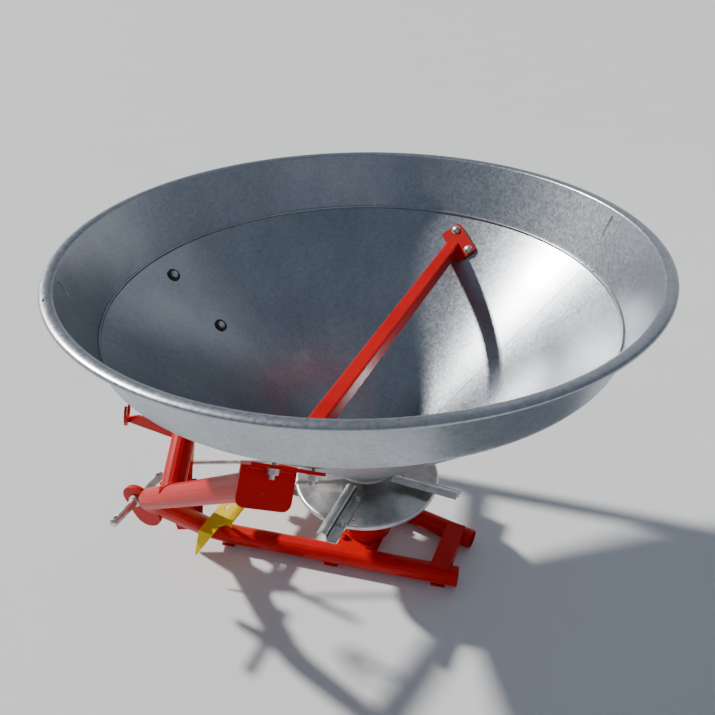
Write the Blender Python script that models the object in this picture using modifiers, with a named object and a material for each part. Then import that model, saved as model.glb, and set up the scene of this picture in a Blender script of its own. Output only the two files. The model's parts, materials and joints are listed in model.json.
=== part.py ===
"""Tractor-mounted fertiliser spreader: conical hopper on a bent tube frame.

Metres, +Z up, -X towards the tractor, origin on the ground under the hopper's axis.
"Left" is the -Y side. Each object is one separate piece of the machine.
"""
import math

import bmesh
import bpy
from mathutils import Matrix, Vector

# ---- driving dimensions -------------------------------------------------
GAP = 0.0003                # between pieces that touch
SHEET = 0.002               # hopper sheet
RIM_R = 0.650               # outside of the rolled rim
RIM_Z = 0.933               # top of the rolled rim
RIM_W = 0.026               # width of the rolled rim
RIM_H = 0.010               # height of the rolled rim
CREASE_R = 0.88 * RIM_R      # where the steep band meets the cone
CREASE_Z = 0.789
JOGGLE = 0.006              # step of the band over the cone's edge
OUTLET_R = 0.082            # bottom of the cone
OUTLET_Z = 0.294
RING_H = 0.010              # outlet ring under the cone
HOPPER_SIDES = 64

TUBE_R = 0.027              # frame tube
TUBE_WALL = 0.003
FOOT_T = 0.006
FOOT_LEN = 0.038
FOOT_W = 0.036
BASE_Z = FOOT_T + GAP + TUBE_R
HITCH_X = -0.483            # lower hitch pins
HITCH_Y = 0.340
HITCH_Z = 0.292
HITCH_PIN_R = 0.011
HITCH_PIN_LEN = 0.190
LUG_T = 0.012
CORNER = Vector((HITCH_X + 0.043, -HITCH_Y - 0.012, HITCH_Z + 0.024))   # tube's outer bend
KNEE = Vector((HITCH_X + 0.078, -HITCH_Y / 2, BASE_Z))                 # tube's lower bend
TAIL = Vector((0.290, -0.070, BASE_Z))                                 # tube's open end
BEND_R = 0.075
TOP_LINK_OUT = 0.070        # top-link pin in front of the cone's wall
TOP_LINK_Z = HITCH_Z + 0.460
TOP_PIN_R = 0.0095
PLATE_T = 0.006             # red bracket plates

BRACKET_AZ = 80.0           # side bracket, degrees from +X
BRACKET_Z = 0.736
BRACKET_TILT = 40.4         # bolt line below the horizontal, along the cone
BOLT_PITCH = 0.075
BOLT_R = 0.005
FRONT_BOLT_Z = (0.748, 0.625)
BRACE_W = 0.035             # square bar inside the hopper

DISC_R = 0.194
DISC_Z = OUTLET_Z - 0.047   # top face
DISC_T = 0.003
DISC_RIM = 0.012
VANE_H = 0.028
VANE_LIP = 0.025
VANE_FOOT = 0.026
VANE_T = 0.0025
VANE_IN = 0.078
VANE_OUT = 0.258
VANES = 4

SHAFT_Z = 0.101             # drive shaft axis height
SHAFT_R = 0.0125            # upright shaft
INPUT_R = 0.015
SPLINE_R = 0.0175
SPLINE_LEN = 0.075
INPUT_END = -0.365
BOX_R = 0.066               # round gearbox housing
BOX_WALL = 0.008
BOX_BOTTOM = BASE_Z + 0.012
BOX_TOP = 0.158
COVER_T = 0.006
NECK_R = 0.034
NECK_TOP = DISC_Z - 0.033
RUN = 0.0005                # running clearance between turning pieces
BEARING_W = 0.012

ROD_ANGLE = 22.3            # control rod, degrees from -X towards -Y
ROD_R = 0.0055
ROD_Z = OUTLET_Z - 0.002
GATE_T = 0.0025
GATE_HALF = 0.038
GATE_IN = SHAFT_R + 0.0075
GATE_OUT = 0.104
GATE_TRAVEL = 0.050
LEVER_AT = 0.478            # distance of the rod's end pin from the upright shaft
LEVER_PIVOT_Z = 0.165
LEVER_TOP_Z = ROD_Z + 0.103
LEVER_W = 0.026
LEVER_T = 0.006

GUARD_Z = SHAFT_Z + 0.036
GUARD_T = 0.0025
GUARD_X = (HITCH_X + 0.100, HITCH_X + 0.170)
GUARD_Y = 0.262
GUARD_DROP = 0.060          # hanging end's height
GUARD_FLARE = 0.033         # and its slope outwards
GUARD_NECK = 0.043          # width of the sheet at its ends

MIRROR_Y = Matrix.Diagonal((1.0, -1.0, 1.0, 1.0))


# ---- set-up -------------------------------------------------------------
for old in list(bpy.data.objects):
    bpy.data.objects.remove(old, do_unlink=True)
PARTS = bpy.data.collections.new("fertiliser_spreader")
CUTTERS = bpy.data.collections.new("cutters")
bpy.context.scene.collection.children.link(PARTS)
bpy.context.scene.collection.children.link(CUTTERS)


def make_material(name, color, roughness, metallic):
    mat = bpy.data.materials.new(name)
    mat.use_nodes = True
    shader = mat.node_tree.nodes["Principled BSDF"]
    shader.inputs["Base Color"].default_value = (*color, 1.0)
    shader.inputs["Roughness"].default_value = roughness
    shader.inputs["Metallic"].default_value = metallic
    mat.diffuse_color = (*color, 1.0)
    return mat


GALVANISED = make_material("galvanised", (0.55, 0.58, 0.60), 0.45, 0.9)
RED = make_material("red_paint", (0.80, 0.04, 0.03), 0.30, 0.0)
YELLOW = make_material("yellow_paint", (0.90, 0.65, 0.03), 0.35, 0.0)
ZINC = make_material("zinc_plate", (0.66, 0.66, 0.64), 0.30, 1.0)
STAINLESS = make_material("stainless", (0.62, 0.61, 0.58), 0.35, 1.0)
STEEL = make_material("dark_steel", (0.22, 0.22, 0.23), 0.40, 1.0)


def add_object(name, mesh, material, matrix=None):
    mesh.materials.clear()
    mesh.materials.append(material)
    mesh.shade_smooth()
    mesh.set_sharp_from_angle(angle=math.radians(35))
    obj = bpy.data.objects.new(name, mesh)
    PARTS.objects.link(obj)
    if matrix is not None:
        obj.matrix_world = matrix
    return obj


def mesh_from(bm, name):
    bmesh.ops.recalc_face_normals(bm, faces=bm.faces)
    mesh = bpy.data.meshes.new(name)
    bm.to_mesh(mesh)
    bm.free()
    return mesh


def axes_at(origin, x_axis, z_axis):
    """Matrix of a frame at origin whose local Z is z_axis and X lies along x_axis."""
    z = Vector(z_axis).normalized()
    x = Vector(x_axis)
    x = (x - z * x.dot(z)).normalized()
    y = z.cross(x)
    rot = Matrix((x, y, z)).transposed().to_4x4()
    return Matrix.Translation(Vector(origin)) @ rot


def box_mesh(name, low, high):
    bm = bmesh.new()
    bmesh.ops.create_cube(bm, size=1.0)
    low, high = Vector(low), Vector(high)
    for vert in bm.verts:
        vert.co = (low + high) / 2 + Vector([vert.co[i] * (high - low)[i] for i in range(3)])
    return mesh_from(bm, name)


def box(name, low, high, material, matrix=None):
    return add_object(name, box_mesh(name, low, high), material, matrix)


def rod_mesh(name, radius, z_low, z_high, sides=24):
    bm = bmesh.new()
    bmesh.ops.create_cone(bm, cap_ends=True, segments=sides, radius1=radius, radius2=radius,
                          depth=z_high - z_low)
    bmesh.ops.translate(bm, verts=bm.verts, vec=(0.0, 0.0, (z_low + z_high) / 2))
    return mesh_from(bm, name)


def rod(name, radius, z_low, z_high, material, matrix=None, sides=24):
    return add_object(name, rod_mesh(name, radius, z_low, z_high, sides), material, matrix)


def bake(obj):
    """Replace the object's mesh with its evaluated one and clear the modifiers."""
    bpy.context.view_layer.update()
    graph = bpy.context.evaluated_depsgraph_get()
    mesh = bpy.data.meshes.new_from_object(obj.evaluated_get(graph))
    obj.modifiers.clear()
    obj.data = mesh
    mesh.shade_smooth()
    mesh.set_sharp_from_angle(angle=math.radians(35))
    return obj


def lathe(name, profile, material, sides=48, matrix=None, closed=True):
    """Turn a profile of (radius, height) points; it runs down its outer side."""
    bm = bmesh.new()
    verts = [bm.verts.new((r, 0.0, z)) for r, z in profile]
    for first, second in zip(verts, verts[1:]):
        bm.edges.new((first, second))
    if closed:
        bm.edges.new((verts[-1], verts[0]))
    mesh = bpy.data.meshes.new(name)
    bm.to_mesh(mesh)
    bm.free()
    obj = add_object(name, mesh, material, matrix)
    screw = obj.modifiers.new("turn", "SCREW")
    screw.steps = screw.render_steps = sides
    screw.use_merge_vertices = True
    screw.merge_threshold = 0.00001
    return bake(obj)


def flat_outline(name, points, thickness, material, matrix):
    """Extrude a flat outline to both sides of its plane by half the thickness."""
    curve = bpy.data.curves.new(name, "CURVE")
    curve.dimensions = "2D"
    curve.fill_mode = "BOTH"
    curve.extrude = thickness / 2
    spline = curve.splines.new("POLY")
    spline.points.add(len(points) - 1)
    for point, (x, y) in zip(spline.points, points):
        point.co = (x, y, 0.0, 1.0)
    spline.use_cyclic_u = True
    return curve_to_mesh(name, curve, material, matrix)


def curve_to_mesh(name, curve, material, matrix=None):
    holder = bpy.data.objects.new(name + "_curve", curve)
    PARTS.objects.link(holder)
    bpy.context.view_layer.update()
    graph = bpy.context.evaluated_depsgraph_get()
    mesh = bpy.data.meshes.new_from_object(holder.evaluated_get(graph))
    bpy.data.objects.remove(holder, do_unlink=True)
    bm = bmesh.new()
    bm.from_mesh(mesh)
    bmesh.ops.remove_doubles(bm, verts=bm.verts, dist=0.00001)
    bmesh.ops.recalc_face_normals(bm, faces=bm.faces)
    bm.to_mesh(mesh)
    bm.free()
    return add_object(name, mesh, material, matrix)


def tube_path(name, points, radius, material, resolution=7):
    curve = bpy.data.curves.new(name, "CURVE")
    curve.dimensions = "3D"
    curve.bevel_depth = radius
    curve.bevel_resolution = resolution
    curve.use_fill_caps = True
    spline = curve.splines.new("POLY")
    spline.points.add(len(points) - 1)
    for point, place in zip(spline.points, points):
        point.co = (*place, 1.0)
    return curve_to_mesh(name, curve, material)


def bend_points(before, corner, after, radius, steps=7):
    """Points of an arc that rounds a corner of a tube's axis."""
    inward = (before - corner).normalized()
    outward = (after - corner).normalized()
    half = inward.angle(outward) / 2
    reach = radius / math.tan(half)
    centre = corner + (inward + outward).normalized() * (radius / math.sin(half))
    start = corner + inward * reach - centre
    end = corner + outward * reach - centre
    sweep = math.pi - 2 * half
    points = []
    for i in range(steps + 1):
        t = i / steps
        a = math.sin((1 - t) * sweep) / math.sin(sweep)
        b = math.sin(t * sweep) / math.sin(sweep)
        points.append(centre + start * a + end * b)
    return points


def rounded(width, height, radius, steps=4):
    """Outline of a rectangle about the origin with round corners."""
    points = []
    for cx, cy, start in ((1, 1, 0), (-1, 1, 90), (-1, -1, 180), (1, -1, 270)):
        for i in range(steps + 1):
            a = math.radians(start + 90 * i / steps)
            points.append((cx * (width / 2 - radius) + radius * math.cos(a),
                           cy * (height / 2 - radius) + radius * math.sin(a)))
    return points


def combine(obj, other_mesh, matrix, operation):
    """Cut or join a mesh given in the frame `matrix`; the tool is then dropped."""
    tool = bpy.data.objects.new(obj.name + "_tool", other_mesh)
    CUTTERS.objects.link(tool)
    tool.hide_render = True
    tool.display_type = "WIRE"
    tool.matrix_world = matrix
    boolean = obj.modifiers.new("combine", "BOOLEAN")
    boolean.operation = operation
    boolean.solver = "EXACT"
    boolean.object = tool
    bake(obj)
    bpy.data.objects.remove(tool, do_unlink=True)
    return obj


def cut(obj, mesh, matrix=Matrix.Identity(4)):
    return combine(obj, mesh, matrix, "DIFFERENCE")


def join(obj, mesh, matrix=Matrix.Identity(4)):
    return combine(obj, mesh, matrix, "UNION")


def mirrored_mesh(mesh):
    copy = mesh.copy()
    copy.transform(MIRROR_Y)
    copy.flip_normals()
    return copy


def set_origin(obj, place):
    """Move the object's own frame to `place` and leave its shape where it is."""
    obj.data.transform(place.inverted() @ obj.matrix_world)
    obj.matrix_world = place
    return obj


def mirror_to_right(obj, name):
    """Copy a left-hand piece to the +Y side as its own object."""
    copy = bpy.data.objects.new(name, mirrored_mesh(obj.data))
    PARTS.objects.link(copy)
    copy.matrix_world = MIRROR_Y @ obj.matrix_world @ MIRROR_Y
    return copy


def pair(build, name):
    """Build the left-hand piece and its mirror image."""
    left = build(name + "_left")
    return left, mirror_to_right(left, name + "_right")


# ---- hopper -------------------------------------------------------------
CONE_SLOPE = (CREASE_R - OUTLET_R) / (CREASE_Z - OUTLET_Z)
CONE_ANGLE = math.atan(CONE_SLOPE)      # between the wall and the vertical


def cone_radius(z):
    """Outside radius of the cone at a height."""
    return OUTLET_R + (z - OUTLET_Z) * CONE_SLOPE


def cone_place(azimuth, z, depth=0.0):
    """Point on the cone's outer face, moved out along the face's normal by depth."""
    a = math.radians(azimuth)
    out = cone_normal(azimuth)
    r = cone_radius(z)
    return Vector((r * math.cos(a), r * math.sin(a), z)) + out * depth


def cone_normal(azimuth):
    a = math.radians(azimuth)
    flat = math.cos(CONE_ANGLE)
    return Vector((flat * math.cos(a), flat * math.sin(a), -math.sin(CONE_ANGLE)))


SHEET_FLAT = SHEET / math.cos(CONE_ANGLE)   # sheet measured level


def make_hopper_cone():
    profile = [(CREASE_R, CREASE_Z), (OUTLET_R, OUTLET_Z),
               (OUTLET_R - SHEET_FLAT, OUTLET_Z), (CREASE_R - SHEET_FLAT, CREASE_Z)]
    return lathe("hopper_cone", profile, GALVANISED, HOPPER_SIDES)


def make_hopper_band():
    """Steep upper band with the rolled rim; its foot sits round the cone's edge."""
    low_in = CREASE_R + JOGGLE - SHEET
    neck = RIM_R - RIM_W
    foot_z = CREASE_Z + GAP
    step_z = CREASE_Z + JOGGLE
    under = RIM_Z - RIM_H
    roll = []
    for i in range(5):
        a = math.radians(90 - 45 * i)
        roll.append((RIM_R - RIM_H / 2 + RIM_H / 2 * math.cos(a),
                     RIM_Z - RIM_H / 2 + RIM_H / 2 * math.sin(a)))
    profile = [(neck, RIM_Z - SHEET / 2), (neck + SHEET, RIM_Z)] + roll
    profile += [(RIM_R - RIM_H, under + SHEET), (neck + 2 * SHEET, under + SHEET),
                (low_in + SHEET, step_z), (CREASE_R, foot_z),
                (CREASE_R - SHEET_FLAT, foot_z), (low_in - SHEET, step_z)]
    return lathe("hopper_band", profile, GALVANISED, HOPPER_SIDES)


def make_outlet_ring():
    inner = OUTLET_R - 2 * SHEET
    top = OUTLET_Z - GAP
    profile = [(inner, top), (OUTLET_R, top), (OUTLET_R, top - RING_H + SHEET),
               (OUTLET_R - SHEET, top - RING_H), (inner, top - RING_H)]
    return lathe("outlet_ring", profile, STAINLESS, 40)


ROD_DIR = Vector((-math.cos(math.radians(ROD_ANGLE)), -math.sin(math.radians(ROD_ANGLE)), 0.0))
ROD_FRAME = axes_at((0, 0, 0), ROD_DIR, (0, 0, 1))     # local X runs out along the rod
FLOOR_TOP = OUTLET_Z - GAP - 0.001
GATE_TOP = OUTLET_Z - GAP - RING_H - GAP
GATE_LOW = GATE_TOP - GATE_T


def make_hopper_floor():
    """Round floor inside the outlet ring, with the outlet port and the shaft hole."""
    radius = OUTLET_R - 2 * SHEET - GAP
    depth = FLOOR_TOP - (GATE_TOP + GAP)
    obj = rod("hopper_floor", radius, FLOOR_TOP - depth, FLOOR_TOP, STAINLESS, ROD_FRAME, 48)
    port = box_mesh("port", (GATE_IN + 0.006, -GATE_HALF + 0.010, 0.0),
                    (radius - 0.010, GATE_HALF - 0.010, 1.0))
    cut(obj, port, ROD_FRAME)
    cut(obj, rod_mesh("bore", SHAFT_R + 0.0015, 0.0, 1.0, 32))
    return obj


# ---- brace inside the hopper and the brackets outside --------------------
def side_frame(depth):
    """Frame on the left bracket's middle: X along the bolts, Z out of the cone."""
    azimuth = -BRACKET_AZ
    a = math.radians(azimuth)
    out = cone_normal(azimuth)
    level = Vector((-math.sin(a), math.cos(a), 0.0))
    down = level.cross(out)
    if down.z > 0:
        down = -down
    tilt = math.radians(BRACKET_TILT)
    along = level * math.cos(tilt) + down * math.sin(tilt)
    return axes_at(cone_place(azimuth, BRACKET_Z, depth), along, out)


# The wall is faceted and curved, so flat plates stand off it a little.
PLATE_OFF = 0.0045
INSIDE_OFF = -(SHEET + 0.0034)
FLANGE_LEN = 0.104
FLANGE_W = 0.062
FLANGE_SHIFT = -0.012       # the flange reaches further towards the bar
BRACE_SHIFT = -0.034        # middle of the bar from the bolt line
FLANGE_T = 0.005
BRACKET_FRONT = -0.088
BRACKET_REAR = 0.014
BRACKET_DEPTH = 0.076
LEG_FROM_BOLTS = 0.022
LEG_WIDTH = 0.050


def make_brace_flange(name):
    frame = side_frame(INSIDE_OFF - FLANGE_T / 2)
    obj = flat_outline(name, rounded(FLANGE_LEN, FLANGE_W, 0.010), FLANGE_T, RED,
                       frame @ Matrix.Translation((0, FLANGE_SHIFT, 0)))
    for x in (-BOLT_PITCH / 2, BOLT_PITCH / 2):
        cut(obj, rod_mesh("hole", BOLT_R + GAP, -0.02, 0.02, 20),
            frame @ Matrix.Translation((x, 0, 0)))
    return obj


def make_brace_bar():
    """Square bar across the hopper; its ends are cut off along the flanges."""
    frame = side_frame(0.0)
    centre = frame @ Vector((0, BRACE_SHIFT, 0))
    half = BRACE_W / 2
    obj = box("brace_bar", (centre.x - half, -RIM_R, centre.z - half),
              (centre.x + half, RIM_R, centre.z + half), RED)
    bevel = obj.modifiers.new("edges", "BEVEL")
    bevel.width = 0.004
    bevel.segments = 2
    bake(obj)
    face = INSIDE_OFF - FLANGE_T - GAP
    slab = box_mesh("slab", (-1, -1, face), (1, 1, face + 1))
    cut(obj, slab, frame)
    return cut(obj, mirrored_mesh(slab), MIRROR_Y @ frame @ MIRROR_Y)


def make_side_bracket(name):
    """Bent plate: one leg on the cone under the bolts, one leg standing off it."""
    frame = side_frame(PLATE_OFF)
    low_y = -LEG_FROM_BOLTS
    leg = box(name, (BRACKET_FRONT, low_y, 0.0),
              (BOLT_PITCH / 2 + 0.010, low_y + LEG_WIDTH, PLATE_T), RED, frame)
    height = BRACKET_DEPTH
    width = BRACKET_REAR - BRACKET_FRONT
    stand = flat_outline("stand", rounded(width, 2 * height, 0.016), PLATE_T, RED,
                         frame @ Matrix.Translation((BRACKET_FRONT + width / 2,
                                                     low_y + PLATE_T / 2, 0.0))
                         @ Matrix.Rotation(math.radians(90), 4, "X"))
    cut(stand, box_mesh("above", (-1, -1, -1), (1, 1, 0.0)), frame)
    join(leg, stand.data, stand.matrix_world)
    bpy.data.objects.remove(stand, do_unlink=True)
    for x in (-BOLT_PITCH / 2, BOLT_PITCH / 2):
        cut(leg, rod_mesh("hole", BOLT_R + GAP, -0.02, 0.02, 20),
            frame @ Matrix.Translation((x, 0, 0)))
    return leg


NUT_R = 0.0092


def bolt_mesh(name, grip):
    """Dome head below z=0, shank, and a nut that sits on the far side of the grip."""
    head = lathe(name, [(0.0, 0.0), (0.0095, 0.0), (0.0090, -0.003), (0.0060, -0.0055),
                        (0.0, -0.0062)], ZINC, 20, closed=False)
    mesh = head.data
    bpy.data.objects.remove(head, do_unlink=True)
    bm = bmesh.new()
    bm.from_mesh(mesh)
    bmesh.ops.recalc_face_normals(bm, faces=bm.faces)
    bm.to_mesh(mesh)
    bm.free()
    shank = rod_mesh("shank", BOLT_R, -0.003, grip + 0.018, 20)
    return mesh, shank, rod_mesh("nut", NUT_R, grip, grip + 0.008, 6)


def make_bolt(name, frame, grip):
    head, shank, nut = bolt_mesh(name, grip)
    obj = add_object(name, head, ZINC, frame)
    join(obj, shank, frame)
    join(obj, nut, frame)
    return obj


BRACKET_GRIP = PLATE_OFF + PLATE_T - INSIDE_OFF + FLANGE_T + 2 * GAP


def make_side_bolts():
    for label, x in (("front", -BOLT_PITCH / 2), ("rear", BOLT_PITCH / 2)):
        start = INSIDE_OFF - FLANGE_T - GAP
        frame = side_frame(start) @ Matrix.Translation((x, 0, 0))
        left = make_bolt("hopper_bolt_%s_left" % label, frame, BRACKET_GRIP)
        mirror_to_right(left, "hopper_bolt_%s_right" % label)


def wall_bores():
    """Clearance holes in the cone for all six hopper bolts."""
    places = [axes_at(cone_place(180, z), (0, 1, 0), cone_normal(180)) for z in FRONT_BOLT_Z]
    for x in (-BOLT_PITCH / 2, BOLT_PITCH / 2):
        frame = side_frame(0.0) @ Matrix.Translation((x, 0, 0))
        places += [frame, MIRROR_Y @ frame @ MIRROR_Y]
    return places


# ---- front mast ----------------------------------------------------------
CHEEK_Y = 0.026             # half the space between the top-link cheeks
NOSE_R = 0.022
MAST_FOOT_AT = 0.27         # share of the upper rail where the mast leg stands
MAST_TOP = Vector((-cone_radius(min(FRONT_BOLT_Z)) - 0.034, -CHEEK_Y - PLATE_T - GAP,
                   min(FRONT_BOLT_Z) - 0.035))
TOP_LINK_X = -cone_radius(TOP_LINK_Z) - TOP_LINK_OUT
STRAP_W = 0.070


def front_frame(z, depth=0.0):
    """Frame on the cone's front line: X up along the wall, Z out of it."""
    out = cone_normal(180)
    return axes_at(cone_place(180, z, depth), (-1, 0, 1), out)


def make_front_strap(name="front_strap"):
    """Flat strap that lies on the cone under the two front bolts."""
    low, high = (cone_place(180, z) for z in sorted(FRONT_BOLT_Z))
    length = (high - low).length
    frame = front_frame(sum(FRONT_BOLT_Z) / 2, PLATE_OFF + PLATE_T / 2)
    obj = flat_outline(name, rounded(length + 0.060, STRAP_W, 0.012), PLATE_T, RED, frame)
    for x in (-length / 2, length / 2):
        cut(obj, rod_mesh("hole", BOLT_R + GAP, -0.02, 0.02, 20),
            frame @ Matrix.Translation((x, 0, 0)))
    return obj


def make_top_link_plate(name):
    """Cheek from the strap on the cone to the top-link pin and the mast leg."""
    start = PLATE_OFF + PLATE_T + GAP
    low = front_frame(min(FRONT_BOLT_Z), start)
    high = front_frame(max(FRONT_BOLT_Z), start)
    corners = [low @ Vector((-0.028, 0, 0)), high @ Vector((0.026, 0, 0))]
    outline = [(c.x, c.z) for c in corners]
    for i in range(9):
        a = math.radians(70 + 22 * i)
        outline.append((TOP_LINK_X + NOSE_R * math.cos(a), TOP_LINK_Z + NOSE_R * math.sin(a)))
    foot = low @ Vector((-0.024, 0, 0.062))
    outline += [(MAST_TOP.x - 0.046, MAST_TOP.z + 0.006), (foot.x, foot.z)]
    frame = axes_at((0, -CHEEK_Y - PLATE_T / 2, 0), (1, 0, 0), (0, -1, 0))
    obj = flat_outline(name, outline, PLATE_T, RED, frame)
    return cut(obj, rod_mesh("hole", TOP_PIN_R + GAP, -0.02, 0.02, 24),
               frame @ Matrix.Translation((TOP_LINK_X, TOP_LINK_Z, 0)))


def make_top_link_pin():
    frame = axes_at((TOP_LINK_X, 0, TOP_LINK_Z), (1, 0, 0), (0, -1, 0))
    half = CHEEK_Y + PLATE_T + 0.020
    profile = [(0.0, half), (TOP_PIN_R - 0.002, half), (TOP_PIN_R, half - 0.002),
               (TOP_PIN_R, -half + 0.012), (TOP_PIN_R + 0.006, -half + 0.012),
               (TOP_PIN_R + 0.006, -half), (0.0, -half)]
    return lathe("top_link_pin", profile, ZINC, 24, frame, closed=False)


# ---- frame rails ---------------------------------------------------------
BRACKET_FRAME = side_frame(PLATE_OFF)
HEAD_DEPTH = 0.033          # rail's axis off the bracket's face
RAIL_HEAD = BRACKET_FRAME @ Vector(((BRACKET_FRONT + BRACKET_REAR) / 2, -LEG_FROM_BOLTS,
                                    HEAD_DEPTH))


def rail_points():
    head = RAIL_HEAD + (RAIL_HEAD - CORNER).normalized() * TUBE_R
    return [head] + bend_points(head, CORNER, KNEE, BEND_R) \
        + bend_points(CORNER, KNEE, TAIL, BEND_R) + [TAIL]


def rail_cutter():
    """Mesh of the left rail, fatter by the gap, to cut what is welded to it."""
    obj = tube_path("rail_cutter", rail_points(), TUBE_R + GAP, RED)
    mesh = obj.data
    bpy.data.objects.remove(obj, do_unlink=True)
    return mesh


def make_frame_rail(name):
    """One tube: down from the hopper bracket, round the hitch corner and back."""
    obj = tube_path(name, rail_points(), TUBE_R, RED)
    end = box_mesh("beyond", (-1, -LEG_FROM_BOLTS - GAP, -1), (1, 1, 1))
    cut(obj, end, BRACKET_FRAME)
    bore = axes_at(TAIL, (0, 0, 1), TAIL - KNEE)
    return cut(obj, rod_mesh("bore", TUBE_R - TUBE_WALL, -0.070, 0.010, 20), bore)


def make_mast_leg(name):
    foot = CORNER.lerp(RAIL_HEAD, MAST_FOOT_AT)
    way = (MAST_TOP - foot).normalized()
    obj = tube_path(name, [foot + way * TUBE_R / 2, MAST_TOP + way * 2 * TUBE_R], TUBE_R, RED)
    cut(obj, rail_cutter())
    return cut(obj, box_mesh("beyond", (-1, MAST_TOP.y, -1), (1, 1, 2)))


def make_rear_cross_bar():
    low = BASE_Z + TUBE_R + GAP
    back = TAIL.x - 0.025
    reach = -TAIL.y + 0.012
    obj = box("rear_cross_bar", (back - 0.050, -reach, low), (back, reach, low + PLATE_T), RED)
    web = box_mesh("web", (back - PLATE_T, -0.040, low - 0.030), (back, 0.040, low + PLATE_T / 2))
    return join(obj, web)


FOOT_AT = {"front": KNEE.x + 0.040, "middle": -0.060, "rear": TAIL.x - 0.050}


def make_feet():
    run = TAIL - KNEE
    for label, x in FOOT_AT.items():
        centre = KNEE + run * ((x - KNEE.x) / run.x)
        frame = axes_at((centre.x, centre.y, 0), run, (0, 0, 1))
        left = box("foot_%s_left" % label, (-FOOT_LEN / 2, -FOOT_W / 2, 0),
                   (FOOT_LEN / 2, FOOT_W / 2, FOOT_T), RED, frame)
        mirror_to_right(left, "foot_%s_right" % label)


# ---- lower hitch ---------------------------------------------------------
LUG_W = 0.080
LUG_H = 0.126
LUG_LEAN = 22.0
LUG_DOWN = 0.011            # middle of the lug below the pin, along its length


def make_hitch_lug(name):
    frame = axes_at((HITCH_X + 0.006, -HITCH_Y, HITCH_Z - 0.012), (1, 0, 0), (0, -1, 0)) \
        @ Matrix.Rotation(math.radians(LUG_LEAN), 4, "Z") \
        @ Matrix.Translation((0, -LUG_DOWN, 0))
    obj = flat_outline(name, rounded(LUG_W, LUG_H, 0.036, 6), LUG_T, RED, frame)
    cut(obj, rail_cutter())
    pin = axes_at((HITCH_X, -HITCH_Y, HITCH_Z), (1, 0, 0), (0, -1, 0))
    return cut(obj, rod_mesh("hole", HITCH_PIN_R + GAP, -0.05, 0.05, 24), pin)


def make_hitch_pin(name):
    """Double-ended pin with a collar outside the lug and a linch-pin hole at each end."""
    frame = axes_at((HITCH_X, -HITCH_Y, HITCH_Z), (1, 0, 0), (0, -1, 0))
    half = HITCH_PIN_LEN / 2
    edge = 0.003
    collar = LUG_T / 2 + GAP
    profile = [(0.0, half), (HITCH_PIN_R - edge, half), (HITCH_PIN_R, half - edge),
               (HITCH_PIN_R, collar + 0.008), (HITCH_PIN_R + 0.005, collar + 0.008),
               (HITCH_PIN_R + 0.005, collar), (HITCH_PIN_R, collar),
               (HITCH_PIN_R, -half + edge), (HITCH_PIN_R - edge, -half), (0.0, -half)]
    obj = lathe(name, profile, ZINC, 24, frame, closed=False)
    for z in (half - 0.014, -half + 0.014):
        across = frame @ Matrix.Translation((0, 0, z)) @ Matrix.Rotation(math.radians(90), 4, "X")
        cut(obj, rod_mesh("hole", 0.0045, -0.05, 0.05, 12), across)
    return obj


# ---- rest for the drive shaft --------------------------------------------
REST_Y = -0.265
REST_OUT = 0.036            # ring in front of the hitch pins
REST_FACE = (0.84, 0.50, -0.20)     # way the ring faces
REST_LIFT = 0.022           # ring above the arm's weld
REST_R = 0.040
REST_IN = 0.026


def make_shaft_rest():
    """Arm on the left mast leg with an open ring at its front."""
    foot = CORNER.lerp(RAIL_HEAD, MAST_FOOT_AT)
    share = (REST_Y - foot.y) / (MAST_TOP.y - foot.y)
    weld = foot.lerp(MAST_TOP, share)
    frame = axes_at((0, REST_Y, 0), (1, 0, 0), (0, -1, 0))
    front = HITCH_X - REST_OUT
    height = weld.z + REST_LIFT
    back = weld.x - 0.012
    outline = [(front - 0.012, height - REST_R + 0.002), (back, weld.z - 0.030),
               (back, weld.z + 0.020), (front + 0.026, height - 0.010),
               (front - 0.006, height - REST_IN + 0.002)]
    arm = flat_outline("shaft_rest", outline, PLATE_T, RED, frame)
    ring = []
    for radius, order in ((REST_R, range(15)), (REST_IN, range(14, -1, -1))):
        for i in order:
            a = math.radians(125 + 20 * i)
            ring.append((radius * math.cos(a), radius * math.sin(a)))
    across = axes_at((front - PLATE_T / 2 + 0.001, REST_Y, height), (0, 1, 0), REST_FACE)
    collar = flat_outline("ring", ring, PLATE_T, RED, across)
    join(arm, collar.data, across)
    bpy.data.objects.remove(collar, do_unlink=True)
    leg = tube_path("leg", [foot, MAST_TOP], TUBE_R + GAP, RED)
    cut(arm, leg.data)
    bpy.data.objects.remove(leg, do_unlink=True)
    return arm


# ---- gearbox -------------------------------------------------------------
PLATE_REACH = 0.056         # half the mounting plate, along the machine
PLATE_SPAN = 0.102          # and across it, into the two rails
SNOUT_R = 0.031
SNOUT_END = -0.122
BEARING_R = 0.022
GEAR_OUT = 0.040            # pitch-cone reach of the two bevel gears
GEAR_IN = 0.022
SHAFT_TOP = OUTLET_Z + 0.036
TO_X = axes_at((0, 0, SHAFT_Z), (0, 0, 1), (1, 0, 0))    # local Z along +X on the drive axis


def make_gearbox_plate():
    top = BOX_BOTTOM - GAP
    obj = box("gearbox_plate", (-PLATE_REACH, -PLATE_SPAN, top - 0.008),
              (PLATE_REACH, PLATE_SPAN, top), RED)
    rails = rail_cutter()
    cut(obj, rails.copy())
    return cut(obj, mirrored_mesh(rails))


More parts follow.
